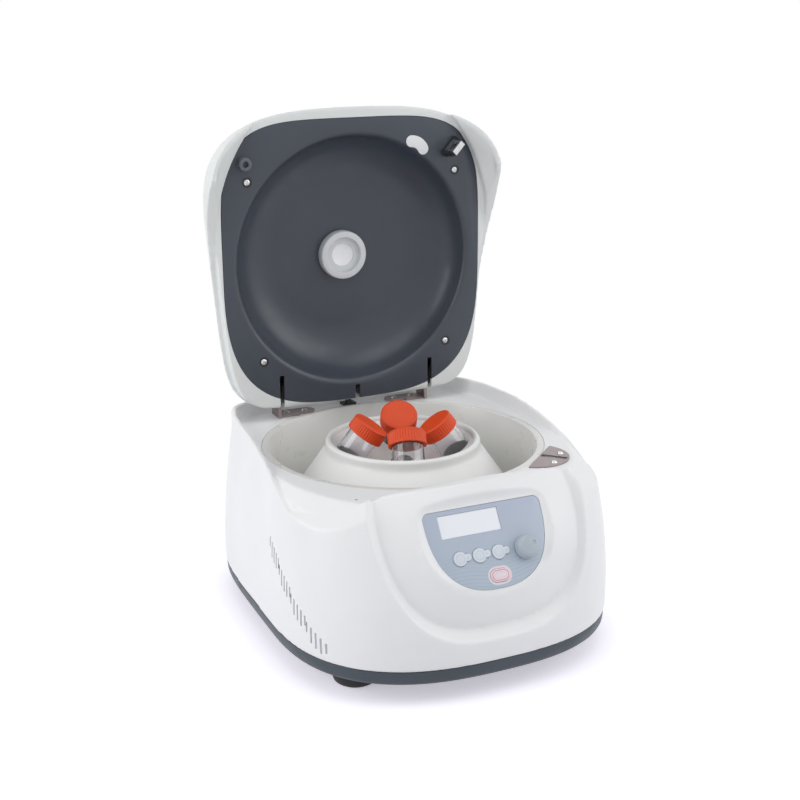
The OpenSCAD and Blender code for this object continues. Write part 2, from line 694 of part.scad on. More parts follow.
// Latch, with X along the radius of the hook and Y across it
module on_latch() {
    rotate([0, 0, -latch_turn]) children();
}
strike_r = 30.3;
strike_x = 124;
strike_holes = [[145, -9], [143, 16]];
module strike_plate() color(bronze_steel) about_shaft() on_latch() difference() {
    intersection() {
        translate([strike_x, 2, deck_h]) cylinder(r = strike_r, h = 1.2, $fn = 96);
        translate([bowl_r + flange_w + 0.8, -60, deck_h - 1]) cube([60, 120, 5]);
    }
    translate([slot_in, slot_side - slot_w / 2, deck_h - 1]) cube([slot_len, slot_w, 5]);
    for (p = strike_holes) translate([p[0], p[1], deck_h - 1]) cylinder(r = 1.6, h = 5);
}
module strike_screws() color(steel)
    about_shaft() on_latch() for (p = strike_holes) translate([p[0], p[1], deck_h]) {
    translate([0, 0, 1.2]) cylinder(r1 = 2.9, r2 = 2.2, h = 1);
    translate([0, 0, 0.4 - wall]) cylinder(r = 1.25, h = wall + 1);
}
bolt_x = slot_in + slot_len / 2;
bolt_z = deck_h - 6.8;
bolt_r = 2.75;
case_h = 20;
module latch_case() color([0.2, 0.21, 0.22]) about_shaft() on_latch() difference() {
    translate([slot_in + 3.5, -5, deck_h - wall - case_h]) cube([19, 32, case_h]);
    translate([slot_in - 10, slot_side - slot_w / 2 - 0.3, deck_h - wall - case_h + 4])
        cube([60, slot_w + 0.6, case_h]);
    translate([bolt_x, -2, bolt_z]) rotate([-90, 0, 0]) cylinder(r = bolt_r + bore_gap, h = 28);
}
module latch_bolt() color(steel) about_shaft() on_latch()
    translate([bolt_x, slot_side + slot_w / 2 + 0.8, bolt_z]) rotate([-90, 0, 0])
        cylinder(r = bolt_r, h = 16);

// Hinge brackets, each an upright ear on an oval foot plate
foot_plate_x = 57;
foot_plate_y = 125;
bracket_holes = [-9, 9];
bracket_t = 3;
ear_r = 7;
module hinge_brackets() color(bronze_steel) about_shaft() for (side = [-1, 1]) {
    difference() {
        union() {
            translate([side * foot_plate_x, foot_plate_y, deck_h]) for (dx = [-11, 11])
                translate([dx, 0, 0]) cylinder(r = 8, h = bracket_t / 2, $fn = 48);
            translate([side * foot_plate_x - 11, foot_plate_y - 8, deck_h]) cube([22, 16, bracket_t / 2]);
            translate([side > 0 ? foot_plate_x : -hinge_x - bracket_t / 2, pivot_y - 8, deck_h])
                cube([hinge_x + bracket_t / 2 - foot_plate_x, 16, bracket_t / 2]);
            translate([side * hinge_x - bracket_t / 2, 0, 0]) rotate([90, 0, 90]) linear_extrude(bracket_t) {
                polygon([[pivot_y - 10, deck_h], [pivot_y + 10, deck_h],
                    [pivot_y + ear_r, pivot_z], [pivot_y - ear_r, pivot_z]]);
                translate([pivot_y, pivot_z]) circle(r = ear_r, $fn = 48);
            }
        }
        translate([side * hinge_x - 10, pivot_y, pivot_z]) rotate([0, 90, 0])
            cylinder(d = pin_d + 2 * bore_gap, h = 20);
        for (dx = bracket_holes) translate([side * (foot_plate_x + dx), foot_plate_y, deck_h - 1])
            cylinder(r = 1.6, h = 5);
    }
}
module bracket_screws() color(steel) about_shaft() for (side = [-1, 1], dx = bracket_holes)
    translate([side * (foot_plate_x + dx), foot_plate_y, deck_h]) {
        translate([0, 0, bracket_t / 2]) cylinder(r1 = 3, r2 = 2.2, h = 1.2);
        translate([0, 0, -7]) cylinder(r = 1.25, h = 9);
    }
block_w = 20;
module hinge_pins() color(steel) about_shaft() for (side = [-1, 1])
    translate([side * hinge_x - block_w / 2 - 1, pivot_y, pivot_z]) rotate([0, 90, 0])
        cylinder(d = pin_d, h = block_w + 2);

// Upright tab that the open lid rests against
stop_w = 4;
stop_top = 17.4;
module lid_stop() color([0.15, 0.15, 0.16]) about_shaft() {
    translate([-7, pivot_y + 3, deck_h]) cube([14, 9, 2]);
    translate([-stop_w / 2, pivot_y + 4, deck_h]) cube([stop_w, 6, stop_top]);
}

// Rear electrics
module power_inlet() color([0.12, 0.12, 0.13])
    about_shaft() translate([inlet_x, bay_y, inlet_z]) difference() {
    union() {
        translate([-inlet_w / 2 - 2, 0, -inlet_h / 2 - 2]) cube([inlet_w + 4, 2.5, inlet_h + 4]);
        translate([-inlet_w / 2 + 0.2, -22, -inlet_h / 2 + 0.2]) cube([inlet_w - 0.4, 22.5, inlet_h - 0.4]);
    }
    translate([-11.5, -14, -7.5]) cube([23, 30, 15]);
}
module rocker_frame() color([0.12, 0.12, 0.13])
    about_shaft() translate([rocker_x, bay_y, inlet_z]) difference() {
    union() {
        translate([-rocker_w / 2 - 1.5, 0, -rocker_h / 2 - 1.5]) cube([rocker_w + 3, 2, rocker_h + 3]);
        translate([-rocker_w / 2 + 0.2, -14, -rocker_h / 2 + 0.2])
            cube([rocker_w - 0.4, 14.5, rocker_h - 0.4]);
    }
    translate([-rocker_w / 2 + 1.5, -9, -rocker_h / 2 + 1.5]) cube([rocker_w - 3, 20, rocker_h - 3]);
    translate([-rocker_w, -2.5, 0]) rotate([0, 90, 0]) cylinder(d = 2 + 2 * bore_gap, h = 2 * rocker_w);
}
rocker_tilt = 8;
module power_rocker() color([0.1, 0.1, 0.1]) about_shaft() translate([rocker_x, bay_y - 2.5, inlet_z]) {
    rotate([rocker_tilt, 0, 0]) intersection() {
        translate([-rocker_w / 2 + 1.8, -4, -rocker_h / 2 + 3]) cube([rocker_w - 3.6, 8.5, rocker_h - 6]);
        translate([-10, 0, 0]) rotate([0, 90, 0]) cylinder(r = rocker_h / 2 - 2.2, h = 20, $fn = 64);
    }
    translate([-rocker_w / 2 + 0.5, 0, 0]) rotate([0, 90, 0]) cylinder(d = 2, h = rocker_w - 1);
}
board_z = foot_h + tray_floor + 5;
board_x = 103 - body_w / 2;
board_y = 92;
board_l = 84;
board_w = 52;
module at_board_posts() {
    for (sx = [-1, 1], sy = [-1, 1])
        translate([board_x + sx * (board_l / 2 - 5), board_y + sy * (board_w / 2 - 5), 0]) children();
}
module power_board() color([0.1, 0.4, 0.25]) about_shaft() {
    translate([board_x - board_l / 2, board_y - board_w / 2, board_z]) cube([board_l, board_w, 1.6]);
    translate([board_x - 30, board_y - 18, board_z + 1.6]) cube([26, 30, 20]);
    translate([board_x + 4, board_y - 8, board_z + 1.6]) cylinder(d = 18, h = 24);
    translate([board_x + 26, board_y - 8, board_z + 1.6]) cylinder(d = 18, h = 24);
    translate([board_x + 2, board_y + 8, board_z + 1.6]) cube([34, 12, 10]);
}

// Lid, drawn closed and then swung open about the hinge pins
module on_lid() {
    translate([0, pivot_y, pivot_z]) rotate([-lid_open, 0, 0]) translate([0, -pivot_y, -pivot_z]) children();
}
lid_half = 146;
lid_front = 143;
lid_back = 140;
shell_t = 3;
dome_n = 3.2;
function dome(z) = pow(1 - pow(clamp((z - notch_h) / (lid_top - notch_h)), dome_n), 1 / dome_n);
function lid_ring(t, inset = 0, n = ring_steps) =
    let (z = mix(notch_h, lid_top, t), d = dome(z))
    [for (i = [0:n - 1])
        let (p = rounded(360 * i / n, lid_half - inset, lid_front - inset, lid_back - inset, 3.0, 8, 0.1))
        [p[0] * d, p[1] * d, z - inset]];

// Outline of the liner
function liner_ring(grow = 0, n = 120) =
    [for (i = [0:n - 1]) let (c = cos(360 * i / n), s = sin(360 * i / n), e = s < 0 ? 4.4 : 3.2)
        [signed_pow(c, 2 / e) * (liner_half + grow),
            signed_pow(s, 2 / e) * ((s < 0 ? liner_front : liner_rear) + grow)]];

hinge_slot_w = 4.6;
stop_slot_w = stop_w + 1;
module lid_slots() {
    for (side = [-1, 1]) translate([side * hinge_x - hinge_slot_w / 2, pivot_y - 18, liner_z - 30])
        cube([hinge_slot_w, 60, 59.5]);
    translate([-stop_slot_w / 2, pivot_y, liner_z - 30])
        cube([stop_slot_w, 60, pivot_z + 4 - slip - liner_z + 30]);
}

sight_r = 20;
liner_top = liner_z + liner_t;
dish_z = liner_z + dish_depth;
ledge_z = rim_h + 5;
flange_z = liner_z + 3.5;
module lid_shell() color(white_body) about_shaft() on_lid() difference() {
    intersection() {
        loft([for (t = [0, 0.2, 0.34, 0.47, 0.59, 0.7, 0.79, 0.86, 0.91, 0.95, 0.978, 0.993, 0.999])
            lid_ring(t)]);
        union() {
            above_rim(lid_gap, 2.6);
            intersection() {
                deck_core(-lid_gap);
                translate([-200, -200, liner_z]) cube([400, 400, 200]);
            }
        }
    }
    // Open underside over the deck
    intersection() {
        deck_core(lid_gap);
        translate([-200, -200, 0]) cube([400, 400, liner_z]);
    }
    translate([-200, liner_rear - 1.5, 0]) cube([400, 40, liner_top]);
    // Hollow inside, narrower where the walls of the housing reach up
    intersection() {
        loft([for (t = [0.2, 0.47, 0.59, 0.7, 0.79, 0.86, 0.92, 0.96, 0.99]) lid_ring(t, shell_t, 64)]);
        union() {
            translate([-200, -200, ledge_z]) cube([400, 400, 200]);
            intersection() {
                deck_core(-lid_gap - shell_t);
                translate([-200, -200, flange_z]) cube([400, 400, ledge_z - flange_z + 0.1]);
            }
        }
    }
    translate([0, 0, liner_z - 1]) linear_extrude(8) polygon(liner_ring(slip));
    cylinder(r = sight_r + slip, h = 400);
    lid_slots();
    // Room for the hinge cheeks
    for (side = [-1, 1]) translate([side * hinge_x - block_w / 2 - slip, pivot_y - 12, flange_z])
        cube([block_w + 2 * slip, 12 + cheek_r + slip, pivot_z + cheek_r + slip - flange_z]);
}

liner_spots = [[104.2, -78.9], [94.5, 88.5]];
module at_liner_screws() {
    for (side = [-1, 1], p = liner_spots) translate([side * p[0], p[1], liner_z]) children();
}
buffer_pos = [-107, -95.6];
plug_pos = [65.6, -105.9];
plug_w = 26;
plug_h = 11;
// Bean outline, bent round the shaft
module plug_form(grow = 0) {
    a = atan2(plug_pos[1], plug_pos[0]);
    r = norm(plug_pos);
    span = (plug_w - plug_h) / 2 / r * 180 / PI;
    intersection() {
        difference() {
            circle(r = r + plug_h / 2 + grow, $fn = 160);
            circle(r = r - plug_h / 2 - grow, $fn = 160);
        }
        polygon([[0, 0], 2 * r * [cos(a - span), sin(a - span)], 2 * r * [cos(a + span), sin(a + span)]]);
    }
    for (s = [-1, 1]) translate([r * cos(a + s * span), r * sin(a + s * span)])
        circle(r = plug_h / 2 + grow, $fn = 32);
}
dish_fillet = 48;
dish_rim = 2;
function dish_curve(r, h) = [for (t = [0:7.5:90])
    [r - dish_fillet + dish_fillet * cos(t), liner_z + h * sin(t)]];
module lid_liner() color([0.28, 0.31, 0.35]) about_shaft() on_lid() difference() {
    union() {
        difference() {
            translate([0, 0, liner_z]) linear_extrude(liner_t) polygon(liner_ring());
            translate([0, 0, liner_z - 1]) cylinder(r = dish_r, h = 10, $fn = 128);
        }
        rotate_extrude($fn = 128) polygon(concat(
            dish_curve(dish_r, dish_depth), [[sight_r + slip, dish_z], [sight_r + slip, dish_z + liner_t]],
            [for (t = [90:-7.5:0]) [dish_r - dish_fillet + (dish_fillet + liner_t) * cos(t),
                liner_z + (dish_depth + liner_t) * sin(t)]]));
    }
    at_liner_screws() {
        translate([0, 0, -1]) cylinder(r = 1.7, h = 10);
        translate([0, 0, -1]) cylinder(r = 4.8, h = 2.2);
    }
    translate([buffer_pos[0], buffer_pos[1], liner_z - 1]) cylinder(r = 2.2, h = 10);
    translate([0, 0, liner_z - 1]) linear_extrude(10) plug_form(-1.5);
    on_latch() translate([slot_in + 2, slot_side - 2.2, liner_z - 1]) cube([slot_len - 4, 4.4, 10]);
    lid_slots();
}
module liner_screws() color(steel) about_shaft() on_lid() at_liner_screws() {
    difference() {
        translate([0, 0, -0.6]) cylinder(r = 2.8, h = 1.8);
        for (a = [0, 90]) rotate([0, 0, a]) translate([-1.7, -0.35, -1]) cube([3.4, 0.7, 1.2]);
    }
    translate([0, 0, 1]) cylinder(r = 1.5, h = 12);
}

// Cheeks either side of each bracket, on a foot behind the liner
cheek_r = 4.2;
module hinge_blocks() color([0.2, 0.21, 0.22]) about_shaft() on_lid() for (side = [-1, 1]) difference() {
    translate([side * hinge_x, 0, 0]) {
        translate([-block_w / 2, pivot_y - 10, flange_z]) cube([block_w, 18, 3]);
        translate([-block_w / 2, pivot_y - 9, flange_z]) cube([block_w, 9 + cheek_r, pivot_z - flange_z]);
        translate([-block_w / 2, pivot_y - 9, pivot_z - 1]) cube([block_w, 9, cheek_r + 1]);
        translate([-block_w / 2, pivot_y, pivot_z]) rotate([0, 90, 0]) cylinder(r = cheek_r, h = block_w);
    }
    translate([side * hinge_x - block_w, pivot_y, pivot_z]) rotate([0, 90, 0])
        cylinder(d = pin_d + 2 * bore_gap, h = 2 * block_w);
    translate([side * hinge_x - hinge_slot_w / 2, pivot_y - 20, liner_z]) cube([hinge_slot_w, 60, 60]);
}

window_r = 14;
ring_drop = 9;
module sight_ring() color([0.42, 0.45, 0.48]) about_shaft() on_lid() difference() {
    union() {
        translate([0, 0, dish_z - ring_drop]) cylinder(r1 = ring_r - 1, r2 = ring_r, h = 1);
        translate([0, 0, dish_z - ring_drop + 1]) cylinder(r = ring_r, h = ring_drop - 1);
        translate([0, 0, dish_z]) cylinder(r = sight_r, h = lid_top - dish_z);
    }
    translate([0, 0, dish_z - ring_drop - 1]) cylinder(r = 17, h = 4);
    cylinder(r = 11, h = 400);
    translate([0, 0, lid_top - 3]) cylinder(r = window_r + 0.1, h = 10);
}
module sight_window() color([0.8, 0.85, 0.88, 0.4]) about_shaft() on_lid()
    translate([0, 0, lid_top - 3]) cylinder(r = window_r, h = 2.6);

module lid_plug() color([0.2, 0.23, 0.26]) about_shaft() on_lid() {
    translate([0, 0, liner_z - 1.2]) linear_extrude(1.2) plug_form();
    translate([0, 0, liner_z - 0.1]) linear_extrude(liner_t + 1) plug_form(-1.55);
}
module lid_buffer() color([0.25, 0.27, 0.3])
    about_shaft() on_lid() translate([buffer_pos[0], buffer_pos[1], 0]) {
    difference() {
        translate([0, 0, liner_z - 7.5]) union() {
            cylinder(r1 = 5.9, r2 = 6.6, h = 6.5);
            translate([0, 0, 6.5]) cylinder(r = 6.6, h = 1);
        }
        translate([0, 0, liner_z - 10]) cylinder(r = 2.7, h = 6);
    }
    translate([0, 0, liner_z - 0.5]) cylinder(r = 2.15, h = liner_t + 2);
}

// Hook of two steel strips in a tapered holder, with one window through all for the bolt
holder_t = 5.4;
strip_t = 1.6;
strip_w = 13;
hook_x = slot_in + slot_len / 2;
module bolt_window() {
    translate([hook_x - 4, slot_side - 10, bolt_z - bolt_r - 0.45]) cube([8, 20, 2 * bolt_r + 0.9]);
}
module hook_holder() color([0.13, 0.13, 0.14]) about_shaft() on_lid() on_latch() difference() {
    union() {
        translate([hook_x, slot_side + holder_t / 2, liner_z]) rotate([90, 0, 0]) linear_extrude(holder_t)
            polygon([[-10.3, 0], [10.3, 0], [10.3, -5],
                [7.6, -hook_drop + 2], [-7.6, -hook_drop + 2], [-10.3, -5]]);
        translate([hook_x - slot_len / 2 + 2.2, slot_side - 2.1, liner_z - 0.1])
            cube([slot_len - 4.4, 4.2, liner_t + 2]);
    }
    for (s = [-1, 1], y = slot_side + s * (holder_t - strip_t) / 2 - strip_t / 2 - 0.02)
        translate([hook_x - strip_w / 2 - 0.05, y, liner_z - hook_drop - 1])
            cube([strip_w + 0.1, strip_t + 0.04, hook_drop - 2]);
    bolt_window();
}
module lid_hook() color(steel) about_shaft() on_lid() on_latch() difference() {
    translate([hook_x - strip_w / 2, slot_side - holder_t / 2, liner_z - hook_drop]) {
        cube([strip_w, strip_t, hook_drop - 3.1]);
        translate([0, holder_t - strip_t, 0]) cube([strip_w, strip_t, hook_drop - 3.1]);
        cube([strip_w, holder_t, 1.6]);
    }
    bolt_window();
}

base_tray();
feet();
tray_screws();
main_housing();
chamber_bowl();
shaft_seal();
motor();
motor_plate();
dampers();
motor_shaft();
rotor();
rotor_nut();
tube_1();
tube_2();
tube_3();
tube_4();
cap_1();
cap_2();
cap_3();
cap_4();
control_panel();
display_window();
display_module();
control_board();
button_left();
button_middle();
button_right();
start_key();
knob();
encoder();
strike_plate();
strike_screws();
latch_case();
latch_bolt();
hinge_brackets();
bracket_screws();
hinge_pins();
lid_stop();
power_inlet();
power_rocker();
rocker_frame();
power_board();
lid_shell();
lid_liner();
liner_screws();
hinge_blocks();
sight_ring();
sight_window();
lid_plug();
lid_buffer();
hook_holder();
lid_hook();
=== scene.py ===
import math
import bpy
import bmesh
from mathutils import Matrix, Vector


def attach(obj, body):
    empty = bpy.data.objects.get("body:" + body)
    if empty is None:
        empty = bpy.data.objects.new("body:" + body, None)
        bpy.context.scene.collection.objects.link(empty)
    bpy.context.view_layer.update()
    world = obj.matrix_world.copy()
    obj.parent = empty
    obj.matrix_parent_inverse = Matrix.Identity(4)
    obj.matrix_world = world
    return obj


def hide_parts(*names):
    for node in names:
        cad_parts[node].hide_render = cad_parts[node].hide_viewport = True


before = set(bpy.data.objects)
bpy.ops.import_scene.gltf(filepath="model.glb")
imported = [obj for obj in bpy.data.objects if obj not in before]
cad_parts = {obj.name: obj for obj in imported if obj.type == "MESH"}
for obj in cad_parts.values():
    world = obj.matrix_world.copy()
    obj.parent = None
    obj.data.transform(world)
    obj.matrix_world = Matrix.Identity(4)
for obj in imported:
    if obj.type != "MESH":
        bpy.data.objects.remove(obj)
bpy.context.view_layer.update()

mm = 0.001
print("frame loaded:", len(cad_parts), "nodes")

camera = {"place": (-0.4728, -1.0107, 0.5361), "turn": 24.6, "pitch": 16.62, "roll": -0.46, "lens": 59.05}


def addCamera():
    turn, pitch, roll = (math.radians(camera[k]) for k in ("turn", "pitch", "roll"))
    ahead = Vector((math.sin(turn) * math.cos(pitch), math.cos(turn) * math.cos(pitch), -math.sin(pitch)))
    side = Vector((math.cos(turn), -math.sin(turn), 0))
    top = side.cross(ahead)
    right = side * math.cos(roll) + top * math.sin(roll)
    up = -side * math.sin(roll) + top * math.cos(roll)
    data = bpy.data.cameras.new("viewCamera")
    data.lens, data.sensor_width = camera["lens"], 36
    data.clip_start, data.clip_end = 0.05, 20
    eye = bpy.data.objects.new("viewCamera", data)
    bpy.context.collection.objects.link(eye)
    turned = Matrix((right, up, -ahead)).transposed().to_4x4()
    eye.matrix_world = Matrix.Translation(camera["place"]) @ turned
    bpy.context.scene.camera = eye


addCamera()


def deselectAll():
    if bpy.context.object and bpy.context.object.mode != "OBJECT":
        bpy.ops.object.mode_set(mode="OBJECT")
    bpy.ops.object.select_all(action="DESELECT")


def hold(obj):
    deselectAll()
    obj.select_set(True)
    bpy.context.view_layer.objects.active = obj
    return obj


def modify(obj, kind, **settings):
    hold(obj)
    step = obj.modifiers.new(kind.lower(), kind)
    for key, value in settings.items():
        setattr(step, key, value)
    bpy.ops.object.modifier_apply(modifier=step.name)
    return obj


def cornerOf(v, count):
    # Primitives start at +Y, so the corner is counted from there
    return round(math.atan2(-v.co.x, v.co.y) / (2 * math.pi) * count) % count


def loft(rings):
    # A cylinder gets one edge row for each ring, and its points then move onto the rings
    count, rows = len(rings[0]), len(rings)
    deselectAll()
    bpy.ops.mesh.primitive_cylinder_add(vertices=count, radius=1, depth=rows - 1, end_fill_type="NGON")
    obj = bpy.context.object
    if rows > 2:
        bpy.ops.object.mode_set(mode="EDIT")
        bpy.ops.mesh.select_all(action="DESELECT")
        shape = bmesh.from_edit_mesh(obj.data)
        for edge in shape.edges:
            edge.select = abs(edge.verts[0].co.z - edge.verts[1].co.z) > 0.5
        bmesh.update_edit_mesh(obj.data)
        bpy.ops.mesh.subdivide(number_cuts=rows - 2)
        bpy.ops.object.mode_set(mode="OBJECT")
    for v in obj.data.vertices:
        row = round(v.co.z + (rows - 1) / 2)
        v.co = Vector(rings[row][cornerOf(v, count)]) * mm
    recalculate(obj)
    return obj


def recalculate(obj):
    hold(obj)
    bpy.ops.object.mode_set(mode="EDIT")
    bpy.ops.mesh.select_all(action="SELECT")
    bpy.ops.mesh.remove_doubles(threshold=1e-6)
    bpy.ops.mesh.normals_make_consistent(inside=False)
    bpy.ops.object.mode_set(mode="OBJECT")
    return obj


def prism(outline, low, high):
    return loft([[(x, y, low) for x, y in outline], [(x, y, high) for x, y in outline]])


def block(x0, x1, y0, y1, z0, z1):
    deselectAll()
    bpy.ops.mesh.primitive_cube_add(size=1)
    obj = bpy.context.object
    low, high = Vector((x0, y0, z0)) * mm, Vector((x1, y1, z1)) * mm
    for v in obj.data.vertices:
        v.co = Vector([high[i] if v.co[i] > 0 else low[i] for i in range(3)])
    return obj


def circle(steps):
    return [(math.cos(2 * math.pi * i / steps), math.sin(2 * math.pi * i / steps)) for i in range(steps)]


def drum(radius, low, high, steps=160, x=0, y=0):
    return prism([(x + c * radius, y + s * radius) for c, s in circle(steps)], low, high)


def lathe(profile, steps=160):
    # The profile is a closed line of (radius, height) that is spun about the upright axis
    deselectAll()
    bpy.ops.mesh.primitive_circle_add(vertices=len(profile), radius=1, fill_type="NOTHING")
    obj = bpy.context.object
    count = len(profile)
    for v in obj.data.vertices:
        r, z = profile[cornerOf(v, count)]
        v.co = Vector((r * mm, 0, z * mm))
    bpy.ops.object.mode_set(mode="EDIT")
    bpy.ops.mesh.select_all(action="SELECT")
    bpy.ops.mesh.spin(steps=steps, angle=2 * math.pi, center=(0, 0, 0), axis=(0, 0, 1))
    bpy.ops.mesh.select_all(action="SELECT")
    bpy.ops.mesh.remove_doubles(threshold=2e-6)
    bpy.ops.mesh.normals_make_consistent(inside=False)
    bpy.ops.object.mode_set(mode="OBJECT")
    return obj


def combine(obj, other, how):
    modify(obj, "BOOLEAN", operation=how, solver="MANIFOLD", object=other)
    bpy.data.objects.remove(other, do_unlink=True)
    return obj


def cut(obj, *others):
    for other in others:
        combine(obj, other, "DIFFERENCE")
    return obj


def cutAll(obj, tools):
    # Tools that stay apart are one mesh, so that the cut is made once
    hold(tools[0])
    for tool in tools[1:]:
        tool.select_set(True)
    bpy.ops.object.join()
    return cut(obj, bpy.context.object)


def join(obj, *others):
    for other in others:
        combine(obj, other, "UNION")
    return obj


def common(obj, *others):
    for other in others:
        combine(obj, other, "INTERSECT")
    return obj


def put(obj, place):
    obj.data.transform(place)
    return obj


def soften(obj, width, segments=2, angle=32):
    modify(obj, "BEVEL", width=width * mm, segments=segments, limit_method="ANGLE",
           angle_limit=math.radians(angle), use_clamp_overlap=True, harden_normals=False)
    return obj


def smooth(obj, angle=35):
    hold(obj)
    bpy.ops.object.shade_smooth_by_angle(angle=math.radians(angle))
    return obj


def remould(obj, voxel, passes, triangles=190000):
    # Melts the hard edges of a big moulding into small even radii
    modify(obj, "REMESH", mode="VOXEL", voxel_size=voxel * mm, adaptivity=0)
    modify(obj, "SMOOTH", factor=0.5, iterations=passes)
    faces = len(obj.data.polygons) * 2
    if faces > triangles:
        modify(obj, "DECIMATE", decimate_type="COLLAPSE", ratio=triangles / faces)
    return obj


def shifted(x=0, y=0, z=0):
    return Matrix.Translation(Vector((x, y, z)) * mm)


def turned(degrees, axis):
    return Matrix.Rotation(math.radians(degrees), 4, axis)


# Places of the assemblies in mm, first about the rotor's shaft and then in the frame
shaftY, deckH, pivotY, pivotZ = 16.5, 160, 122, 186.7
places = {"panelTop": (0, -149, 150), "panelLean": 58, "latchTurn": -47.8,
          "tubeTurn": 72, "tubeMouth": (27.6, 0, deckH + 17), "tubeLean": -36}
aboutShaft = shifted(0, shaftY, 0)
panelPlace = shifted(*places["panelTop"]) @ turned(places["panelLean"], "X")
onPanel = aboutShaft @ panelPlace
onLid = aboutShaft @ shifted(0, pivotY, pivotZ) @ turned(-90, "X") @ shifted(0, -pivotY, -pivotZ)
onLatch = turned(places["latchTurn"], "Z")


def onTube(k):
    spin = turned(places["tubeTurn"] + 90 * k, "Z")
    return aboutShaft @ spin @ shifted(*places["tubeMouth"]) @ turned(places["tubeLean"], "Y")


def finishPiece(obj, name, body, slotName, material, *nodes):
    obj.name = obj.data.name = name
    obj.data.materials.clear()
    obj.data.materials.append(material)
    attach(obj, body)
    if nodes:
        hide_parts(*nodes)
    return obj


class Wire:
    def __init__(self, paint, socket):
        self.paint, self.socket = paint, socket

    def maths(self, kind, first, second=None):
        parts = {0: first} if second is None else {0: first, 1: second}
        return self.paint.add("ShaderNodeMath", {"operation": kind}, parts)

    def __add__(self, other):
        return self.maths("ADD", self, other)

    def __mul__(self, other):
        return self.maths("MULTIPLY", self, other)

    def sine(self):
        return self.maths("SINE", self)


class Paint:
    def __init__(self, name):
        self.material = bpy.data.materials.new(name)
        self.material.use_nodes = True
        self.tree = self.material.node_tree
        self.shader = self.tree.nodes["Principled BSDF"]
        self.place = self.add("ShaderNodeTexCoord", {}, {}, "Object")

    def add(self, kind, settings, parts, output=0):
        node = self.tree.nodes.new(kind)
        for key, value in settings.items():
            setattr(node, key, value)
        for key, value in parts.items():
            self.feed(node.inputs[key], value)
        return Wire(self, node.outputs[output])

    def feed(self, socket, value):
        if isinstance(value, Wire):
            self.tree.links.new(value.socket, socket)
        elif isinstance(value, (tuple, list)) and socket.type == "RGBA":
            socket.default_value = (*value, 1) if len(value) == 3 else value
        else:
            socket.default_value = value

    def noise(self, scale, detail=3, rough=0.5, where=None):
        return self.add("ShaderNodeTexNoise", {}, {"Vector": where or self.place, "Scale": scale,
                        "Detail": detail, "Roughness": rough}, "Fac")

    def ramp(self, value, low, high, start=0.0, end=1.0):
        return self.add("ShaderNodeMapRange", {"clamp": True},
                        {0: value, 1: low, 2: high, 3: start, 4: end}, 0)

    def tint(self, factor, first, second):
        # Inputs 6 and 7 and output 2 of the node are its colours
        return self.add("ShaderNodeMix", {"data_type": "RGBA"}, {0: factor, 6: first, 7: second}, 2)

    def mapping(self, turn, scale):
        return self.add("ShaderNodeMapping", {}, {"Vector": self.place, "Scale": scale,
                        "Rotation": [math.radians(a) for a in turn]})

    def split(self, vector, axis):
        return self.add("ShaderNodeSeparateXYZ", {}, {0: vector}, axis)

    def bump(self, height, strength, distance):
        return self.add("ShaderNodeBump", {}, {"Height": height, "Strength": strength,
                        "Distance": distance * mm})

    def use(self, **parts):
        for key, value in parts.items():
            self.feed(self.shader.inputs[key.replace("_", " ")], value)
        return self.material

    def surface(self):
        return Wire(self, self.shader.outputs[0])


def moulded(name, colour, rough=0.4, grain=900, depth=0.02, mottle=0.05, scuff=0.1, coat=0.0, glow=0.0):
    # Injection moulded plastic with a fine spark-eroded grain and faint cloudy shading
    paint = Paint(name)
    fine = paint.noise(grain, 2, 0.6)
    cloud = paint.noise(14, 4, 0.55)
    dust = paint.ramp(paint.noise(420, 3, 0.7), 0.62, 0.8)
    darker = [c * (1 - mottle) for c in colour]
    lighter = [min(1, c * (1 + mottle)) for c in colour]
    shade = paint.tint(paint.ramp(cloud, 0.3, 0.7), darker, lighter)
    shade = paint.tint(dust * (mottle * 1.2), shade, [c * 0.7 for c in colour])
    streak = paint.ramp(paint.noise(60, 5, 0.6), 0.35, 0.75)
    paint.use(Base_Color=shade, Roughness=streak * scuff + (rough - scuff / 2),
              Normal=paint.bump(fine, 0.35, depth))
    paint.use(IOR=1.47, Coat_Weight=coat, Coat_Roughness=0.15)
    if glow:
        paint.use(Subsurface_Weight=glow, Subsurface_Radius=(0.6, 0.5, 0.4), Subsurface_Scale=0.004)
    return paint.material


def metal(name, colour, rough=0.25, brush=(1, 1, 1), turn=(0, 0, 0), depth=0.01, stain=0.1):
    # Metal with drawn or turned marks along one direction
    paint = Paint(name)
    along = paint.mapping(turn, brush)
    lines = paint.noise(260, 4, 0.6, along)
    patch = paint.noise(40, 4, 0.6)
    shade = paint.tint(paint.ramp(patch, 0.35, 0.7), colour, [c * (1 - stain) for c in colour])
    shade = paint.tint(paint.ramp(lines, 0.4, 0.75) * 0.25, shade, [min(1, c * 1.25) for c in colour])
    paint.use(Base_Color=shade, Metallic=1.0, Normal=paint.bump(lines, 0.4, depth),
              Roughness=paint.ramp(lines, 0.3, 0.7, rough * 0.75, rough * 1.3))
    return paint.material


def rubber(name, colour, rough=0.6):
    paint = Paint(name)
    skin = paint.noise(700, 3, 0.6)
    bloom = paint.ramp(paint.noise(30, 4, 0.6), 0.4, 0.75)
    paint.use(Base_Color=paint.tint(bloom * 0.5, colour, [c * 1.8 + 0.01 for c in colour]),
              Roughness=bloom * 0.15 + rough, Normal=paint.bump(skin, 0.5, 0.04))
    return paint.material


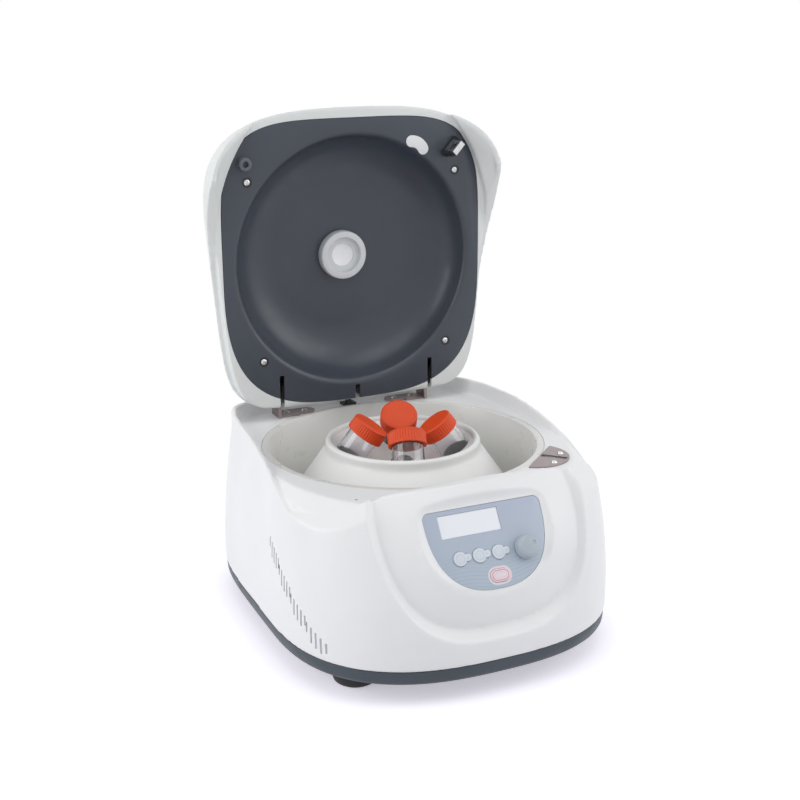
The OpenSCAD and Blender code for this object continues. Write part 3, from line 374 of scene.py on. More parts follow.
def clearPlastic(name, colour=(0.97, 0.98, 1.0), rough=0.04):
    paint = Paint(name)
    waves = paint.noise(55, 2, 0.4)
    haze = paint.ramp(paint.noise(25, 3, 0.5), 0.4, 0.7)
    paint.use(Base_Color=paint.tint(haze * 0.3, colour, (0.93, 0.94, 0.96)),
              Roughness=haze * 0.06 + rough, Normal=paint.bump(waves, 0.2, 0.15))
    paint.use(IOR=1.49, Transmission_Weight=1.0)
    return paint.material


whiteBody = moulded("whiteHousing", (0.83, 0.835, 0.84), 0.38, 1100, 0.015, 0.02, 0.1, glow=0.05)
whiteLid = moulded("paleLid", (0.74, 0.765, 0.75), 0.42, 1100, 0.015, 0.025, 0.1, glow=0.05)
slateLiner = moulded("slateLiner", (0.052, 0.062, 0.080), 0.36, 1500, 0.03, 0.06, 0.14)
slateTray = moulded("slateTray", (0.045, 0.060, 0.074), 0.45, 1500, 0.03, 0.07, 0.14)
bowlWhite = moulded("bowlWhite", (0.74, 0.735, 0.71), 0.32, 700, 0.01, 0.03, 0.12, coat=0.15)
rotorWhite = moulded("rotorWhite", (0.80, 0.80, 0.79), 0.36, 900, 0.015, 0.025, 0.1, glow=0.08)
orangeCap = moulded("orangeCap", (0.69, 0.065, 0.006), 0.5, 1300, 0.02, 0.05, 0.12, glow=0.12)
blackPlastic = moulded("blackPlastic", (0.022, 0.023, 0.026), 0.4, 1400, 0.03, 0.15, 0.15)
knobGrey = moulded("knobGrey", (0.40, 0.46, 0.51), 0.3, 1400, 0.015, 0.04, 0.1)
buttonPale = moulded("buttonPale", (0.66, 0.71, 0.77), 0.4, 1500, 0.015, 0.03, 0.08, glow=0.1)
plugPale = moulded("plugPale", (0.78, 0.79, 0.79), 0.42, 1300, 0.02, 0.03, 0.1)
ringGrey = moulded("ringGrey", (0.66, 0.68, 0.69), 0.4, 1300, 0.02, 0.03, 0.1)
boardGreen = moulded("boardGreen", (0.02, 0.13, 0.06), 0.35, 1800, 0.02, 0.2, 0.1, coat=0.4)
motorGrey = metal("motorCasting", (0.20, 0.20, 0.21), 0.45, (1, 1, 1), (0, 0, 0), 0.06, 0.25)
brightSteel = metal("brightSteel", (0.66, 0.67, 0.69), 0.24, (1, 8, 1), (0, 0, 20))
bronzeSteel = metal("bronzeSteel", (0.36, 0.30, 0.305), 0.34, (1, 14, 1), (0, 0, 35), 0.012, 0.18)
rubberBlack = rubber("rubberBlack", (0.012, 0.012, 0.013))
bufferGrey = rubber("bufferGrey", (0.10, 0.115, 0.14), 0.45)
lensWhite = moulded("lensWhite", (0.87, 0.88, 0.89), 0.2, 300, 0.002, 0.015, 0.05, coat=0.4)
clearTube = clearPlastic("clearTube")
clearWindow = clearPlastic("clearWindow", (0.98, 0.99, 1.0), 0.02)

nodeFinish = {
    "base_tray": slateTray, "feet": rubberBlack, "tray_screws": brightSteel, "main_housing": whiteBody,
    "chamber_bowl": bowlWhite, "shaft_seal": rubberBlack, "motor": motorGrey, "motor_plate": brightSteel,
    "dampers": rubberBlack, "motor_shaft": brightSteel, "rotor": rotorWhite, "rotor_nut": blackPlastic,
    "tube_1": clearTube, "tube_2": clearTube, "tube_3": clearTube, "tube_4": clearTube,
    "cap_1": orangeCap, "cap_2": orangeCap, "cap_3": orangeCap, "cap_4": orangeCap,
    "control_panel": knobGrey, "display_window": clearWindow, "display_module": blackPlastic,
    "control_board": boardGreen, "button_left": buttonPale, "button_middle": buttonPale,
    "button_right": buttonPale, "start_key": buttonPale, "knob": knobGrey, "encoder": blackPlastic,
    "strike_plate": bronzeSteel, "strike_screws": brightSteel, "latch_case": blackPlastic,
    "latch_bolt": brightSteel, "hinge_brackets": bronzeSteel, "bracket_screws": brightSteel,
    "hinge_pins": brightSteel, "lid_stop": blackPlastic, "power_inlet": blackPlastic,
    "power_rocker": blackPlastic, "rocker_frame": blackPlastic, "power_board": boardGreen,
    "lid_shell": whiteLid, "lid_liner": slateLiner, "liner_screws": brightSteel, "hinge_blocks": blackPlastic,
    "sight_ring": ringGrey, "sight_window": clearWindow, "lid_plug": plugPale, "lid_buffer": bufferGrey,
    "hook_holder": blackPlastic, "lid_hook": brightSteel}
for nodeName, finish in nodeFinish.items():
    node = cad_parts[nodeName]
    if not node.data.materials:
        node.data.materials.append(finish)
    for index in range(len(node.material_slots)):
        node.material_slots[index].material = finish
print("materials ready:", len(bpy.data.materials))


def signedPower(value, power):
    return math.copysign(abs(value) ** power, value)


def clamp(t):
    return max(0.0, min(1.0, t))


def blendOf(a, b, t):
    return a + (b - a) * t


def arc(cx, cy, radius, start, stop, step):
    # Points of an arc in the radius and height plane of a turned piece
    turns = [math.radians(t) for t in range(start, stop, step)]
    return [(cx + radius * math.cos(t), cy + radius * math.sin(t)) for t in turns]


def rounded(turn, half, front, rear, frontPower, rearPower, taper):
    # A point of an outline whose front and rear halves meet at its widest line
    c, s = math.cos(turn), math.sin(turn)
    c = 0.0 if abs(c) < 1e-9 else c
    power = 2 / (frontPower if s < 0 else rearPower)
    v = signedPower(s, power)
    return (signedPower(c, power) * half * (1 - taper * max(0, v)),
            -widest + v * (front - widest if s < 0 else rear + widest))


widest = 50  # How far before the shaft the outlines are widest
housing = {"seam": 32, "halfLow": 149, "halfDeck": 143, "frontLow": 193, "frontDeck": 150, "rearLow": 160,
           "rearDeck": 142, "wall": 4, "rim": 176, "notch": 144, "lip": 167, "notchReach": 85,
           "voxel": 1.5, "passes": 4, "around": 240, "levels": 44}


def lift(z):
    return (z - housing["seam"]) / (deckH - housing["seam"])


def housingRing(z, inset=0, frontInset=0, count=None):
    count = count or housing["around"]
    u = lift(z)
    w = clamp(u)
    half = housing["halfLow"] - (housing["halfLow"] - housing["halfDeck"]) * w ** 2 - inset
    front = housing["frontLow"] - (housing["frontLow"] - housing["frontDeck"]) * max(0, u) ** 2.2
    rear = housing["rearLow"] - (housing["rearLow"] - housing["rearDeck"]) * w ** 1.5 - inset
    bulges = (blendOf(2.6, 3.0, w), blendOf(5, 8, w), blendOf(0.02, 0.1, w))
    return [(*rounded(2 * math.pi * i / count, half, front - inset - frontInset, rear, *bulges), z)
            for i in range(count)]


rim = {"flatY": 45, "fall": 1.95, "rearDrop": 2, "rearSpan": 95, "rearEnd": 180, "riseY": 98, "riseSpan": 22,
       "bow": 3.5, "knee": 92, "tip": 143, "dip": 0.8, "half": 154, "reach": 260}


def sideRim(y):
    start, flatY = housing["notchReach"], rim["flatY"]
    t = clamp((y + start) / (flatY + start))
    rearDrop = rim["rearDrop"] * (max(0, y - flatY) / rim["rearSpan"]) ** 2
    return housing["rim"] - (housing["rim"] - housing["notch"]) * (1 - t) ** rim["fall"] - rearDrop


def frontRim(x):
    a, knee = abs(x), rim["knee"]
    if a < knee:
        return housing["lip"] - rim["bow"] * (a / knee) ** 2
    t = (a - knee) / (rim["tip"] - knee)
    return blendOf(housing["lip"] - rim["bow"], housing["notch"], t ** rim["dip"])


def aboveRim(gap=0, rearRise=0):
    # Everything above the edge of the housing, which cuts the housing and shapes the lid
    reach, start, half, sky = rim["reach"], -housing["notchReach"], rim["half"], deckH + rim["reach"]
    line = [(y, sideRim(y) + gap) for y in (blendOf(start, rim["flatY"], i / 48) for i in range(49))]
    for i in range(1, 25):
        y = blendOf(rim["flatY"], rim["rearEnd"], i / 24)
        line.append((y, sideRim(y) + gap + rearRise * clamp((y - rim["riseY"]) / rim["riseSpan"])))
    line += [(rim["rearEnd"], sky), (start, sky)]
    sides = loft([[(x, y, z) for y, z in line] for x in (-reach, reach)])
    line = [(x, frontRim(x) + gap) for x in (half * i / 48 for i in range(-48, 49))]
    line += [(half, sky), (-half, sky)]
    front = loft([[(x, y, z) for x, z in line] for y in (start + 0.001, start - reach)])
    return join(sides, front)


deck = {"centreX": 19.7, "centreY": -27.7, "radius": 155, "drop": 30, "fall": 0.85}


def cornerCone(side, gap=0):
    # The sunk deck's front corners are parts of two wide circles with sloping walls
    radius, drop = deck["radius"] - gap, deck["drop"]
    levels = ((deckH - drop, radius + drop / deck["fall"]), (deckH, radius), (deckH + 80, radius))
    return loft([[(side * deck["centreX"] + c * r, deck["centreY"] + s * r, z) for c, s in circle(320)]
                 for z, r in levels])


def deckCore(grow=0, low=120, high=260):
    core = prism([p[:2] for p in housingRing(deckH, housing["wall"] - grow)], low, high)
    corners = common(cornerCone(1, -grow), cornerCone(-1, -grow))
    return common(core, join(corners, block(-200, 200, deck["centreY"], deck["centreY"] + 300, 0, 300)))


panel = {"width": 107, "height": 69, "corner": 6, "thick": 2, "bulge": 2.5}


def shield(grow=0, steps=64):
    # The outline of the control panel: straight above and a deep curve below
    a, r, low = panel["width"] / 2 + grow, panel["corner"] + grow, -panel["corner"]
    depth, power = panel["height"] - panel["corner"] + grow, 2 / panel["bulge"]
    line = [(signedPower(math.cos(t), power) * a, low + signedPower(math.sin(t), power) * depth)
            for t in (math.pi * (1 + i / steps) for i in range(steps + 1))]
    for middle, start, steady in ((a - r, 0, 1), (-a + r, 1, 0)):
        turns = [math.pi / 2 * (start + i / 10) for i in range(steady, 10 + steady)]
        line += [(middle + r * math.cos(t), low + r * math.sin(t)) for t in turns]
    return line


recess = {"half": 98, "depth": 121, "bulge": 3.4, "taper": 0.13, "inner": -10, "outer": 20, "above": 40,
          "low": -4.5, "high": 13.6, "top": (0, -136, deckH), "lean": 64}
fascia = {"half": 141, "reach": 187, "middleZ": 85, "bow": 12, "bulge": 2.2, "low": 40, "high": 174}


def recessForm(extra=0):
    # The sloping U-shaped field of the front, wider outside than inside
    sections = []
    for grow, z in ((recess["inner"] - extra, recess["low"]), (recess["outer"] - extra, recess["high"])):
        line, power = [], 2 / recess["bulge"]
        for i in range(97):
            t = math.pi * (1 + i / 96)
            v = signedPower(math.sin(t), power) * (recess["depth"] + grow)
            line.append((signedPower(math.cos(t), power) * (recess["half"] + grow + recess["taper"] * v), v))
        edge = recess["half"] + (recess["inner"] if grow < 0 else recess["outer"])
        line += [(edge, recess["above"]), (-edge, recess["above"])]
        sections.append([(x, y, z) for x, y in line])
    return put(loft(sections), shifted(*recess["top"]) @ turned(recess["lean"], "X"))


def fasciaRing(z):
    reach = fascia["reach"] - ((z - fascia["middleZ"]) / fascia["bow"]) ** 2
    count = housing["around"]
    return [(*rounded(2 * math.pi * i / count, fascia["half"], reach, 0, fascia["bulge"], 2, 0), z)
            for i in range(count)]


cavity = {"side": 4, "front": 12, "levels": (31, 45, 58, 74, 90, 104, 118, 130, 143, 156), "roof": 138}
flare = {"gap": 0.4, "spread": 14, "rise": 10, "lift": 0.2, "rows": 12}
rebate = {"radius": 127.8, "z": 158.5, "bore": 123.3, "panelLedge": 4}
bay = {"outside": (8, 92, 143, 148, 42, 96), "inside": (12, 88, 148, 178, 46, 92),
       "socket": (20.3, 47.7, 118, 160, 59, 79), "rocker": (65.5, 78.5, 118, 160, 59.2, 78.8)}
vents = {"groups": 4, "perGroup": 5, "startY": -52, "groupStep": 22, "step": 5, "width": 2, "startDrop": 48,
         "groupDrop": 17, "drop": 3, "endLength": 9, "length": 14, "x": 135, "reach": 14,
         "rearCount": 9, "rearX": -108, "rearStep": 9, "rearWidth": 3, "rearLow": 50, "rearHigh": 90}


def sideVents():
    slots = []
    for side in (-1, 1):
        middle = side * vents["x"]
        for group in range(vents["groups"]):
            for k in range(vents["perGroup"]):
                y = vents["startY"] - vents["groupStep"] * group - vents["step"] * k
                high = deckH - vents["startDrop"] - vents["groupDrop"] * group - vents["drop"] * k
                size = vents["endLength"] if k in (0, vents["perGroup"] - 1) else vents["length"]
                slots.append(block(middle - vents["reach"], middle + vents["reach"],
                                   y, y + vents["width"], high - size, high))
    return slots


def rearVents():
    starts = [vents["rearX"] + vents["rearStep"] * i for i in range(vents["rearCount"])]
    return [block(x, x + vents["rearWidth"], 140, 180, vents["rearLow"], vents["rearHigh"]) for x in starts]


def makeHousing():
    count = housing["levels"]
    levels = [blendOf(housing["seam"], 178, i / count) for i in range(count + 1)]
    shell = cut(loft([housingRing(z) for z in levels]), recessForm())
    front = loft([fasciaRing(blendOf(fascia["low"], fascia["high"], i / 40)) for i in range(41)])
    common(front, recessForm(0.1), block(-200, 200, -260, -122, 0, 400))
    join(shell, front)
    hollow = loft([housingRing(z, cavity["side"], cavity["front"], 120) for z in cavity["levels"]])
    common(hollow, join(block(-200, 200, -200, 200, 0, cavity["roof"]), deckCore(-2.5)))
    cut(shell, hollow)
    join(shell, block(*bay["outside"]))
    cut(shell, cut(aboveRim(), deckCore(0, 120, deckH)))
    cut(shell, common(deckCore(0, deckH, 260), block(-200, 200, -130, 270, 150, 270)))
    for side in (-1, 1):
        low, high = side * 145 - 60, side * 145 + 60
        area = block(low, high, -220, -housing["notchReach"], 140, 220)
        inner = prism([p[:2] for p in housingRing(deckH, housing["wall"])], 140, 220)
        common(inner, block(low, high, -housing["notchReach"] - 0.5, deck["centreY"], 130, 230))
        cut(shell, cut(join(area, inner), cornerCone(-side)))
    rows = []
    for k in range(flare["rows"] + 1):
        t = k / flare["rows"]
        rise = flare["rise"] * (1 - math.cos(math.pi / 2 * t)) + flare["lift"]
        rows.append([(x, y, rise) for x, y in shield(flare["gap"] + flare["spread"] * t)])
    cut(shell, put(loft(rows), panelPlace))
    remould(shell, housing["voxel"], housing["passes"])
    # Crisp details come after the edges are melted
    pinhole, latchGap = drum(1.5, 150, 170, 24, -96, -119), put(block(129, 153, 0.8, 8.2, 150, 170), onLatch)
    seatAndShadeRing = put(prism(shield(0.2), -panel["thick"], 30), panelPlace)
    ledge = drum(rebate["radius"], rebate["z"], 180, 240)
    cutAll(shell, [ledge, seatAndShadeRing, block(*bay["inside"]), pinhole, latchGap] + sideVents() + rearVents())
    window = put(prism(shield(-rebate["panelLedge"]), -16, 4), panelPlace)
    cutAll(shell, [drum(rebate["bore"], 140, 170, 240), window, block(*bay["socket"]), block(*bay["rocker"])])
    put(shell, aboutShaft)
    smooth(shell, 38)
    return finishPiece(shell, "HousingMoulding", "base", "housing", whiteBody, "main_housing")


makeHousing()
print("housing done")

lid = {"top": 222, "back": 140, "front": 143, "half": 146, "shell": 3, "linerZ": 168, "liner": 2.5,
       "dishR": 115, "dishDepth": 37, "dishFillet": 48, "lip": 6, "sightR": 20.3, "hingeX": 77.3,
       "round": 3.2, "voxel": 1.35, "passes": 4}


def lidRing(rise, spread, inset=0, count=240):
    # The rise is the share of the lid's height and the spread is the outline's size there
    z = blendOf(housing["notch"], lid["top"], rise)
    return [(x * spread, y * spread, z - inset) for x, y in
            (rounded(2 * math.pi * i / count, lid["half"] - inset, lid["front"] - inset,
                     lid["back"] - inset, 3.0, 8, 0.1) for i in range(count))]


def dome(inset=0, low=0.0, high=89.6, rows=46, count=240):
    rings = []
    for i in range(rows + 1):
        turn, power = math.radians(blendOf(low, high, i / rows)), 2 / lid["round"]
        rings.append(lidRing(math.sin(turn) ** power, math.cos(turn) ** power, inset, count))
    return loft(rings)


outlineOfLiner = {"half": 130, "front": 132, "rear": 135.5, "frontPower": 4.4, "rearPower": 3.2}
lidGap = {"rim": 1.2, "rearRise": 2.6, "rearBand": (134, 174)}
lidSlot = {"half": 2.3, "before": 18, "behind": 42, "low": 138, "high": 197.5, "stopHalf": 2.5,
           "stopReach": 60, "stopRise": 3.7}


def linerRing(grow=0, count=240):
    line, sizes = [], outlineOfLiner
    for c, s in circle(count):
        end = "front" if s < 0 else "rear"
        power = 2 / sizes[end + "Power"]
        c = 0.0 if abs(c) < 1e-9 else c
        x = signedPower(c, power) * (sizes["half"] + grow)
        line.append((x, signedPower(s, power) * (sizes[end] + grow)))
    return line


def lidSlots():
    # Two slots for the hinge brackets and one for the lid stop
    slots = [block(side * lid["hingeX"] - lidSlot["half"], side * lid["hingeX"] + lidSlot["half"],
                   pivotY - lidSlot["before"], pivotY + lidSlot["behind"], lidSlot["low"], lidSlot["high"])
             for side in (-1, 1)]
    return slots + [block(-lidSlot["stopHalf"], lidSlot["stopHalf"], pivotY, pivotY + lidSlot["stopReach"],
                          lidSlot["low"], pivotZ + lidSlot["stopRise"])]


def slab(low, high):
    return block(-200, 200, -200, 200, low, high)


def makeLid():
    z, gap = lid["linerZ"], lidGap["rim"]
    shell = common(dome(), join(aboveRim(gap, lidGap["rearRise"]), common(deckCore(-gap), slab(z, z + 200))))
    cut(shell, deckCore(gap, 100, z), block(-200, 200, *lidGap["rearBand"], 0, z + lid["liner"]))
    lower = common(deckCore(-gap - lid["shell"]), slab(171.5, 181.1))
    cut(shell, common(dome(lid["shell"], 9, 89, 36, 160), join(lower, slab(181, 381))))
    cut(shell, prism(linerRing(-1.5), 160, 175))
    remould(shell, lid["voxel"], lid["passes"])
    cutAll(shell, [prism(linerRing(0.3), 167, 175), drum(lid["sightR"], 176, 400)])
    cutAll(shell, lidSlots())
    put(shell, onLid)
    smooth(shell, 38)
    return finishPiece(shell, "LidMoulding", "lid", "lid", whiteLid, "lid_shell")


plug = {"x": 65.6, "y": -105.9, "width": 26, "height": 11, "bend": 13, "inner": -1.5, "skirt": -1.55}


def plugOutline(grow=0):
    # A bean: a band bent about a point nearer to the middle of the lid, with round ends
    bend, middle, reach = plug["bend"], math.atan2(plug["y"], plug["x"]), math.hypot(plug["x"], plug["y"])
    baseX, baseY = (reach - bend) * math.cos(middle), (reach - bend) * math.sin(middle)
    span = (plug["width"] - plug["height"]) / 2 / bend
    half, line = plug["height"] / 2 + grow, []
    for side in (1, -1):
        radius = bend + side * half
        turns = [middle + blendOf(-side * span, side * span, i / 10) for i in range(11)]
        line += [(baseX + radius * math.cos(t), baseY + radius * math.sin(t)) for t in turns]
        end = middle + side * span
        cx, cy = baseX + bend * math.cos(end), baseY + bend * math.sin(end)
        turns = [end + (0 if side > 0 else math.pi) + math.pi * i / 12 for i in range(1, 12)]
        line += [(cx + half * math.cos(t), cy + half * math.sin(t)) for t in turns]
    return line


linerSpots = [(side * x, y) for side in (-1, 1) for x, y in ((104.2, -78.9), (94.5, 88.5))]
bufferSpot = (-107, -95.6)


def makeLiner():
    z, r, f, edge, thick = lid["linerZ"], lid["dishR"], lid["dishFillet"], lid["lip"], lid["liner"]
    depth, sight, rimR = lid["dishDepth"], lid["sightR"], lid["dishR"] + 9

    def curve(grow, turns):
        return [(r - f + (f + grow) * math.cos(math.radians(t)),
                 z + (depth + grow) * math.sin(math.radians(t))) for t in turns]

    def lip(grow, turns):
        return [(r + edge - (edge - grow) * math.sin(math.radians(t)),
                 z + edge - (edge - grow) * math.cos(math.radians(t))) for t in turns]
    dish = lathe([(rimR, z)] + lip(0, range(0, 81, 8)) + curve(0, range(12, 91, 2))
                 + [(sight, z + depth), (sight, z + depth + thick)] + curve(thick, range(90, 11, -2))
                 + lip(thick, range(80, -1, -8)) + [(rimR, z + thick)], 240)
    plate = prism(linerRing(), z, z + thick)
    hold(plate)
    soften(plate, 0.9, 3, 60)
    cut(plate, drum(rimR - 1.5, z - 5, z + 10, 240))
    liner = join(dish, plate)
    tools = [drum(4.8, z - 5, z + 1.2, 40, x, y) for x, y in linerSpots]
    tools += [drum(2.2, z - 5, z + 9, 24, *bufferSpot), prism(plugOutline(plug["inner"]), z - 5, z + 9),
              put(block(131.5, 150.5, 2.3, 6.7, z - 5, z + 9), onLatch)]
    cutAll(liner, tools)
    cutAll(liner, [drum(1.7, z - 5, z + 9, 24, x, y) for x, y in linerSpots])
    cutAll(liner, lidSlots())
    put(liner, onLid)
    smooth(liner, 30)
    return finishPiece(liner, "LinerPan", "lid", "liner", slateLiner, "lid_liner")


def makeSightRing():
    z = lid["linerZ"] + lid["dishDepth"]
    flange = [(17, z - 8.4), (17.5, z - 9), (21.2, z - 9), (22.6, z - 8.5), (23.2, z - 7.4), (23.3, z - 6)]
    sleeve = [(23.3, z - 0.3), (20, z - 0.3), (20, lid["top"]), (14.1, lid["top"]), (14.1, 219), (11, 219)]
    ring = lathe(flange + sleeve + [(11, z - 4.6), (11.6, z - 5), (17, z - 5)], 120)
    put(ring, onLid)
    smooth(ring, 32)
    finishPiece(ring, "SightRing", "lid", "ring", ringGrey, "sight_ring")
    pane = lathe([(0, 219), (13.6, 219), (14, 219.4), (14, 221.3), (13.7, 221.6), (0, 221.6)], 96)
    put(pane, onLid)
    smooth(pane, 40)
    finishPiece(pane, "SightPane", "lid", "window", clearWindow, "sight_window")
    lens = lathe([(0, z - 3.6), (9.6, z - 3.9), (10.6, z - 4.4), (10.95, z - 4.2), (10.95, z - 2.6),
                  (0, z - 2.6)], 96)
    put(lens, onLid)
    smooth(lens, 40)
    finishPiece(lens, "SightLens", "lid", "window", lensWhite)


def makeLinerScrews():
    for i, (x, y) in enumerate(linerSpots):
        z = lid["linerZ"]
        head = lathe([(0, z - 0.75), (1.4, z - 0.7), (2.3, z - 0.4), (2.75, z + 0.1), (2.8, z + 1.2),
                      (1.5, z + 1.2), (1.5, z + 13), (0, z + 13)], 48)
        for halfX, halfY in ((1.8, 0.4), (0.4, 1.8)):
            cut(head, block(-halfX, halfX, -halfY, halfY, z - 2, z + 0.5))
        put(head, onLid @ shifted(x, y, 0) @ turned(25 + 37 * i, "Z"))
        smooth(head, 35)
        finishPiece(head, "LinerScrew%d" % (i + 1), "lid", "screws", brightSteel, "liner_screws")
        # Painted shade: a black ring fills the floor of each screw's recess and stands for the shadow inside
        # the recess
        seatAndShadeRing = lathe([(2.95, z + 0.2), (4.7, z + 0.2), (4.7, z + 1.15), (2.95, z + 1.15)], 48)
        put(seatAndShadeRing, onLid @ shifted(x, y, 0))
        smooth(seatAndShadeRing, 35)
        finishPiece(seatAndShadeRing, "LinerScrewSeat%d" % (i + 1), "lid", "black_plastic", blackPlastic)


def makePlug():
    z = lid["linerZ"]
    bean = prism(plugOutline(), z - 1.2, z)
    soften(bean, 0.5, 3, 60)
    join(bean, prism(plugOutline(plug["skirt"]), z - 0.5, z + 3.5))
    put(bean, onLid)
    smooth(bean, 35)
    finishPiece(bean, "LidPlug", "lid", "plug", plugPale, "lid_plug")
    buffer = lathe([(0, z - 3.5), (2.7, z - 3.5), (2.7, z - 7), (3.2, z - 7.5), (5.2, z - 7.5), (5.8, z - 7),
                    (6.4, z - 1.4), (6.6, z - 0.3), (6.6, z), (2.15, z), (2.15, z + 4), (0, z + 4)], 48)
    put(buffer, onLid @ shifted(*bufferSpot))
    smooth(buffer, 35)
    finishPiece(buffer, "LidBuffer", "lid", "rubber", bufferGrey, "lid_buffer")


makeLid()
makeLiner()
makeSightRing()
makeLinerScrews()
makePlug()
print("lid done")

rotor = {"radius": 113, "rim": 67, "round": 3, "lipZ": 164, "skirt": 74, "hub": 130, "shaft": 5.05}


def makeRotor():
    top, skirt, hub, shaft, radius = (rotor[k] for k in ("lipZ", "skirt", "hub", "shaft", "radius"))
    under = [(shaft, skirt - 1), (18, skirt - 1), (22, skirt + 26), (56, skirt + 26), (66, skirt + 8)]
    edge = [(radius - 6, skirt), (radius - 2, skirt), (radius - 0.5, skirt + 0.8), (radius, skirt + 2),
            (radius, skirt + 19), (radius - 0.4, skirt + 21.5), (radius - 2, skirt + 24)]
    neck = [(73.5, top - 12.2), (71.4, top - 10.6), (70.3, top - 8.5), (70, top - 6)]
    lip = arc(rotor["rim"], top - rotor["round"], rotor["round"], 0, 181, 12)
    dish = [(63.6, top - 4), (24, hub + 2.6), (21, hub + 0.6), (19.5, hub), (shaft, hub)]
    shape = lathe(under + edge + neck + lip + dish, 240)
    for k in range(4):
        bore = lathe([(0, -116.3), (3.4, -116.3), (14.6, -101.8), (14.6, -1.8), (0, -1.8)], 72)
        cut(shape, put(bore, aboutShaft.inverted() @ onTube(k)))
    put(shape, aboutShaft)
    smooth(shape, 32)
    finishPiece(shape, "RotorCone", "spinner", "rotor", rotorWhite, "rotor")


def makeTube(k):
    # Thread turns under the cap show as shallow beads in the clear wall
    outer = [(0, -115.8), (2.2, -115.8), (3.2, -115.4), (14.1, -102.4), (14.3, -101.4), (14.3, -12.6),
             (14.75, -12.2), (14.75, -11.5), (14.3, -11.1), (14.3, -8.2), (14.75, -7.8), (14.75, -7.2),
             (14.3, -6.8), (14.3, -1.8)]
    inner = [(13.2, -1.8), (13.2, -101.3), (2.0, -114.4), (0, -114.6)]
    shape = lathe(outer + inner, 96)
    put(shape, onTube(k))
    smooth(shape, 30)
    finishPiece(shape, "ClearTube%d" % (k + 1), "spinner", "tube", clearTube, "tube_%d" % (k + 1))


# Each row of the cap gives its height, how far it is drawn in, and whether it has ribs
cap = {"radius": 17.2, "ribs": 42, "rib": 0.7, "wave": (0, 0.75, 1, 0.75),
       "rows": ((-13, 0.5, 0), (-12.7, 0.1, 0), (-11.9, 0, 0), (-11.5, 0, 1), (-2.1, 0.1, 1), (-1.6, 0.15, 0),
                (-1.1, 0.35, 0), (-0.5, 0.85, 0), (-0.12, 1.5, 0), (0, 2.3, 0), (-0.25, 2.8, 0),
                (-0.25, 4, 0))}


def makeCap(k):
    around, rings = circle(cap["ribs"] * len(cap["wave"])), []
    for z, shrink, ribbed in cap["rows"]:
        ring = []
        for i, (c, s) in enumerate(around):
            wave = cap["wave"][i % len(cap["wave"])]
            r = cap["radius"] - shrink - ribbed * cap["rib"] * (1 - wave)
            ring.append((r * c, r * s, z))
        rings.append(ring)
    shape = loft(rings)
    cut(shape, drum(14.35, -20, -1.75, 96))
    put(shape, onTube(k))
    smooth(shape, 35)
    finishPiece(shape, "ScrewCap%d" % (k + 1), "spinner", "cap", orangeCap, "cap_%d" % (k + 1))


makeRotor()
for index in range(4):
    makeTube(index)
    makeCap(index)
print("rotor done")

panelBlue = Paint("panelFilm")
across, upward = panelBlue.split(panelBlue.place, 0), panelBlue.split(panelBlue.place, 2)


def filmPattern(paint, across, upward):
    # Faint wavy stripes that fade out above the lower third of the film
    wave = (across * 95 + 0.6).sine() * 0.0016 + (across * 41 + 2.0).sine() * 0.0022
    stripes = ((upward + wave + across * 0.05) * 2400).sine()
    low = paint.ramp(upward, 0.102, 0.122, 1, 0)
    base = paint.tint(paint.ramp(upward, 0.09, 0.15), (0.44, 0.515, 0.59), (0.425, 0.48, 0.585))
    base = paint.tint(paint.ramp(paint.noise(18, 3, 0.5), 0.3, 0.7) * 0.15, base, (0.47, 0.53, 0.62))
    return paint.tint(paint.ramp(stripes, 0.2, 0.9) * low * 0.3, base, (0.27, 0.36, 0.45))


panelBlue.use(Base_Color=filmPattern(panelBlue, across, upward),
              Normal=panelBlue.bump(panelBlue.noise(1400, 2, 0.5), 0.25, 0.01),
              Roughness=panelBlue.ramp(panelBlue.noise(90, 3, 0.5), 0.3, 0.7, 0.3, 0.38))
panelFilm = panelBlue.use(IOR=1.5)
displayWhite = moulded("displayWhite", (0.86, 0.88, 0.92), 0.2, 300, 0.002, 0.012, 0.05, coat=0.3)
keyRed = moulded("keyRed", (0.72, 0.30, 0.36), 0.4, 1500, 0.015, 0.04, 0.08)
keyPink = moulded("keyPink", (0.80, 0.70, 0.74), 0.4, 1500, 0.015, 0.03, 0.08, glow=0.1)
iconGrey = moulded("iconGrey", (0.57, 0.63, 0.70), 0.4, 1500, 0.01, 0.03, 0.08)


button = {"radius": 5.9, "tab": 3.1, "tabSpot": (6.8, 0.3), "first": -29.1, "step": 17.4, "y": -40.4,
          "low": -3, "high": 1.2, "stem": 2, "stemLow": -7.8, "play": 0.3}
key = {"width": 17, "height": 10.4, "place": (2.1, -58.9)}
knob = {"place": (30.5, -40.8), "low": 0.5, "high": 10, "dimple": (4.6, 2, 0)}
screen = {"left": -40.4, "right": 13.6, "low": -22.8, "high": -3.8, "play": 0.1}
buttonPlaces = [(button["first"] + button["step"] * i, button["y"]) for i in range(3)]


def buttonOutline(grow=0, steps=48):
    # A round key with a small round tab at its right
    big, small, gap = button["radius"] + grow, button["tab"] + grow, button["tabSpot"]
    reach, tilt = math.hypot(*gap), math.atan2(gap[1], gap[0])
    turn = math.acos((reach ** 2 + big ** 2 - small ** 2) / (2 * reach * big))
    back = math.acos((reach ** 2 + small ** 2 - big ** 2) / (2 * reach * small))
    line = [(big * math.cos(t), big * math.sin(t)) for t in
            (tilt + turn + (2 * math.pi - 2 * turn) * i / steps for i in range(steps))]
    return line + [(gap[0] + small * math.cos(t), gap[1] + small * math.sin(t)) for t in
                   (tilt - math.pi + back + (2 * math.pi - 2 * back) * i / 24 for i in range(24))]


def keyOutline(grow=0, steps=20):
    r, shift, line = key["height"] / 2 + grow, (key["width"] - key["height"]) / 2, []
    for side in (1, -1):
        turns = [math.pi * (i / steps - 0.5 * side) for i in range(steps + 1)]
        line += [(side * shift + r * math.cos(t), r * math.sin(t)) for t in turns]
    return line


def moved(outline, place):
    return [(x + place[0], y + place[1]) for x, y in outline]


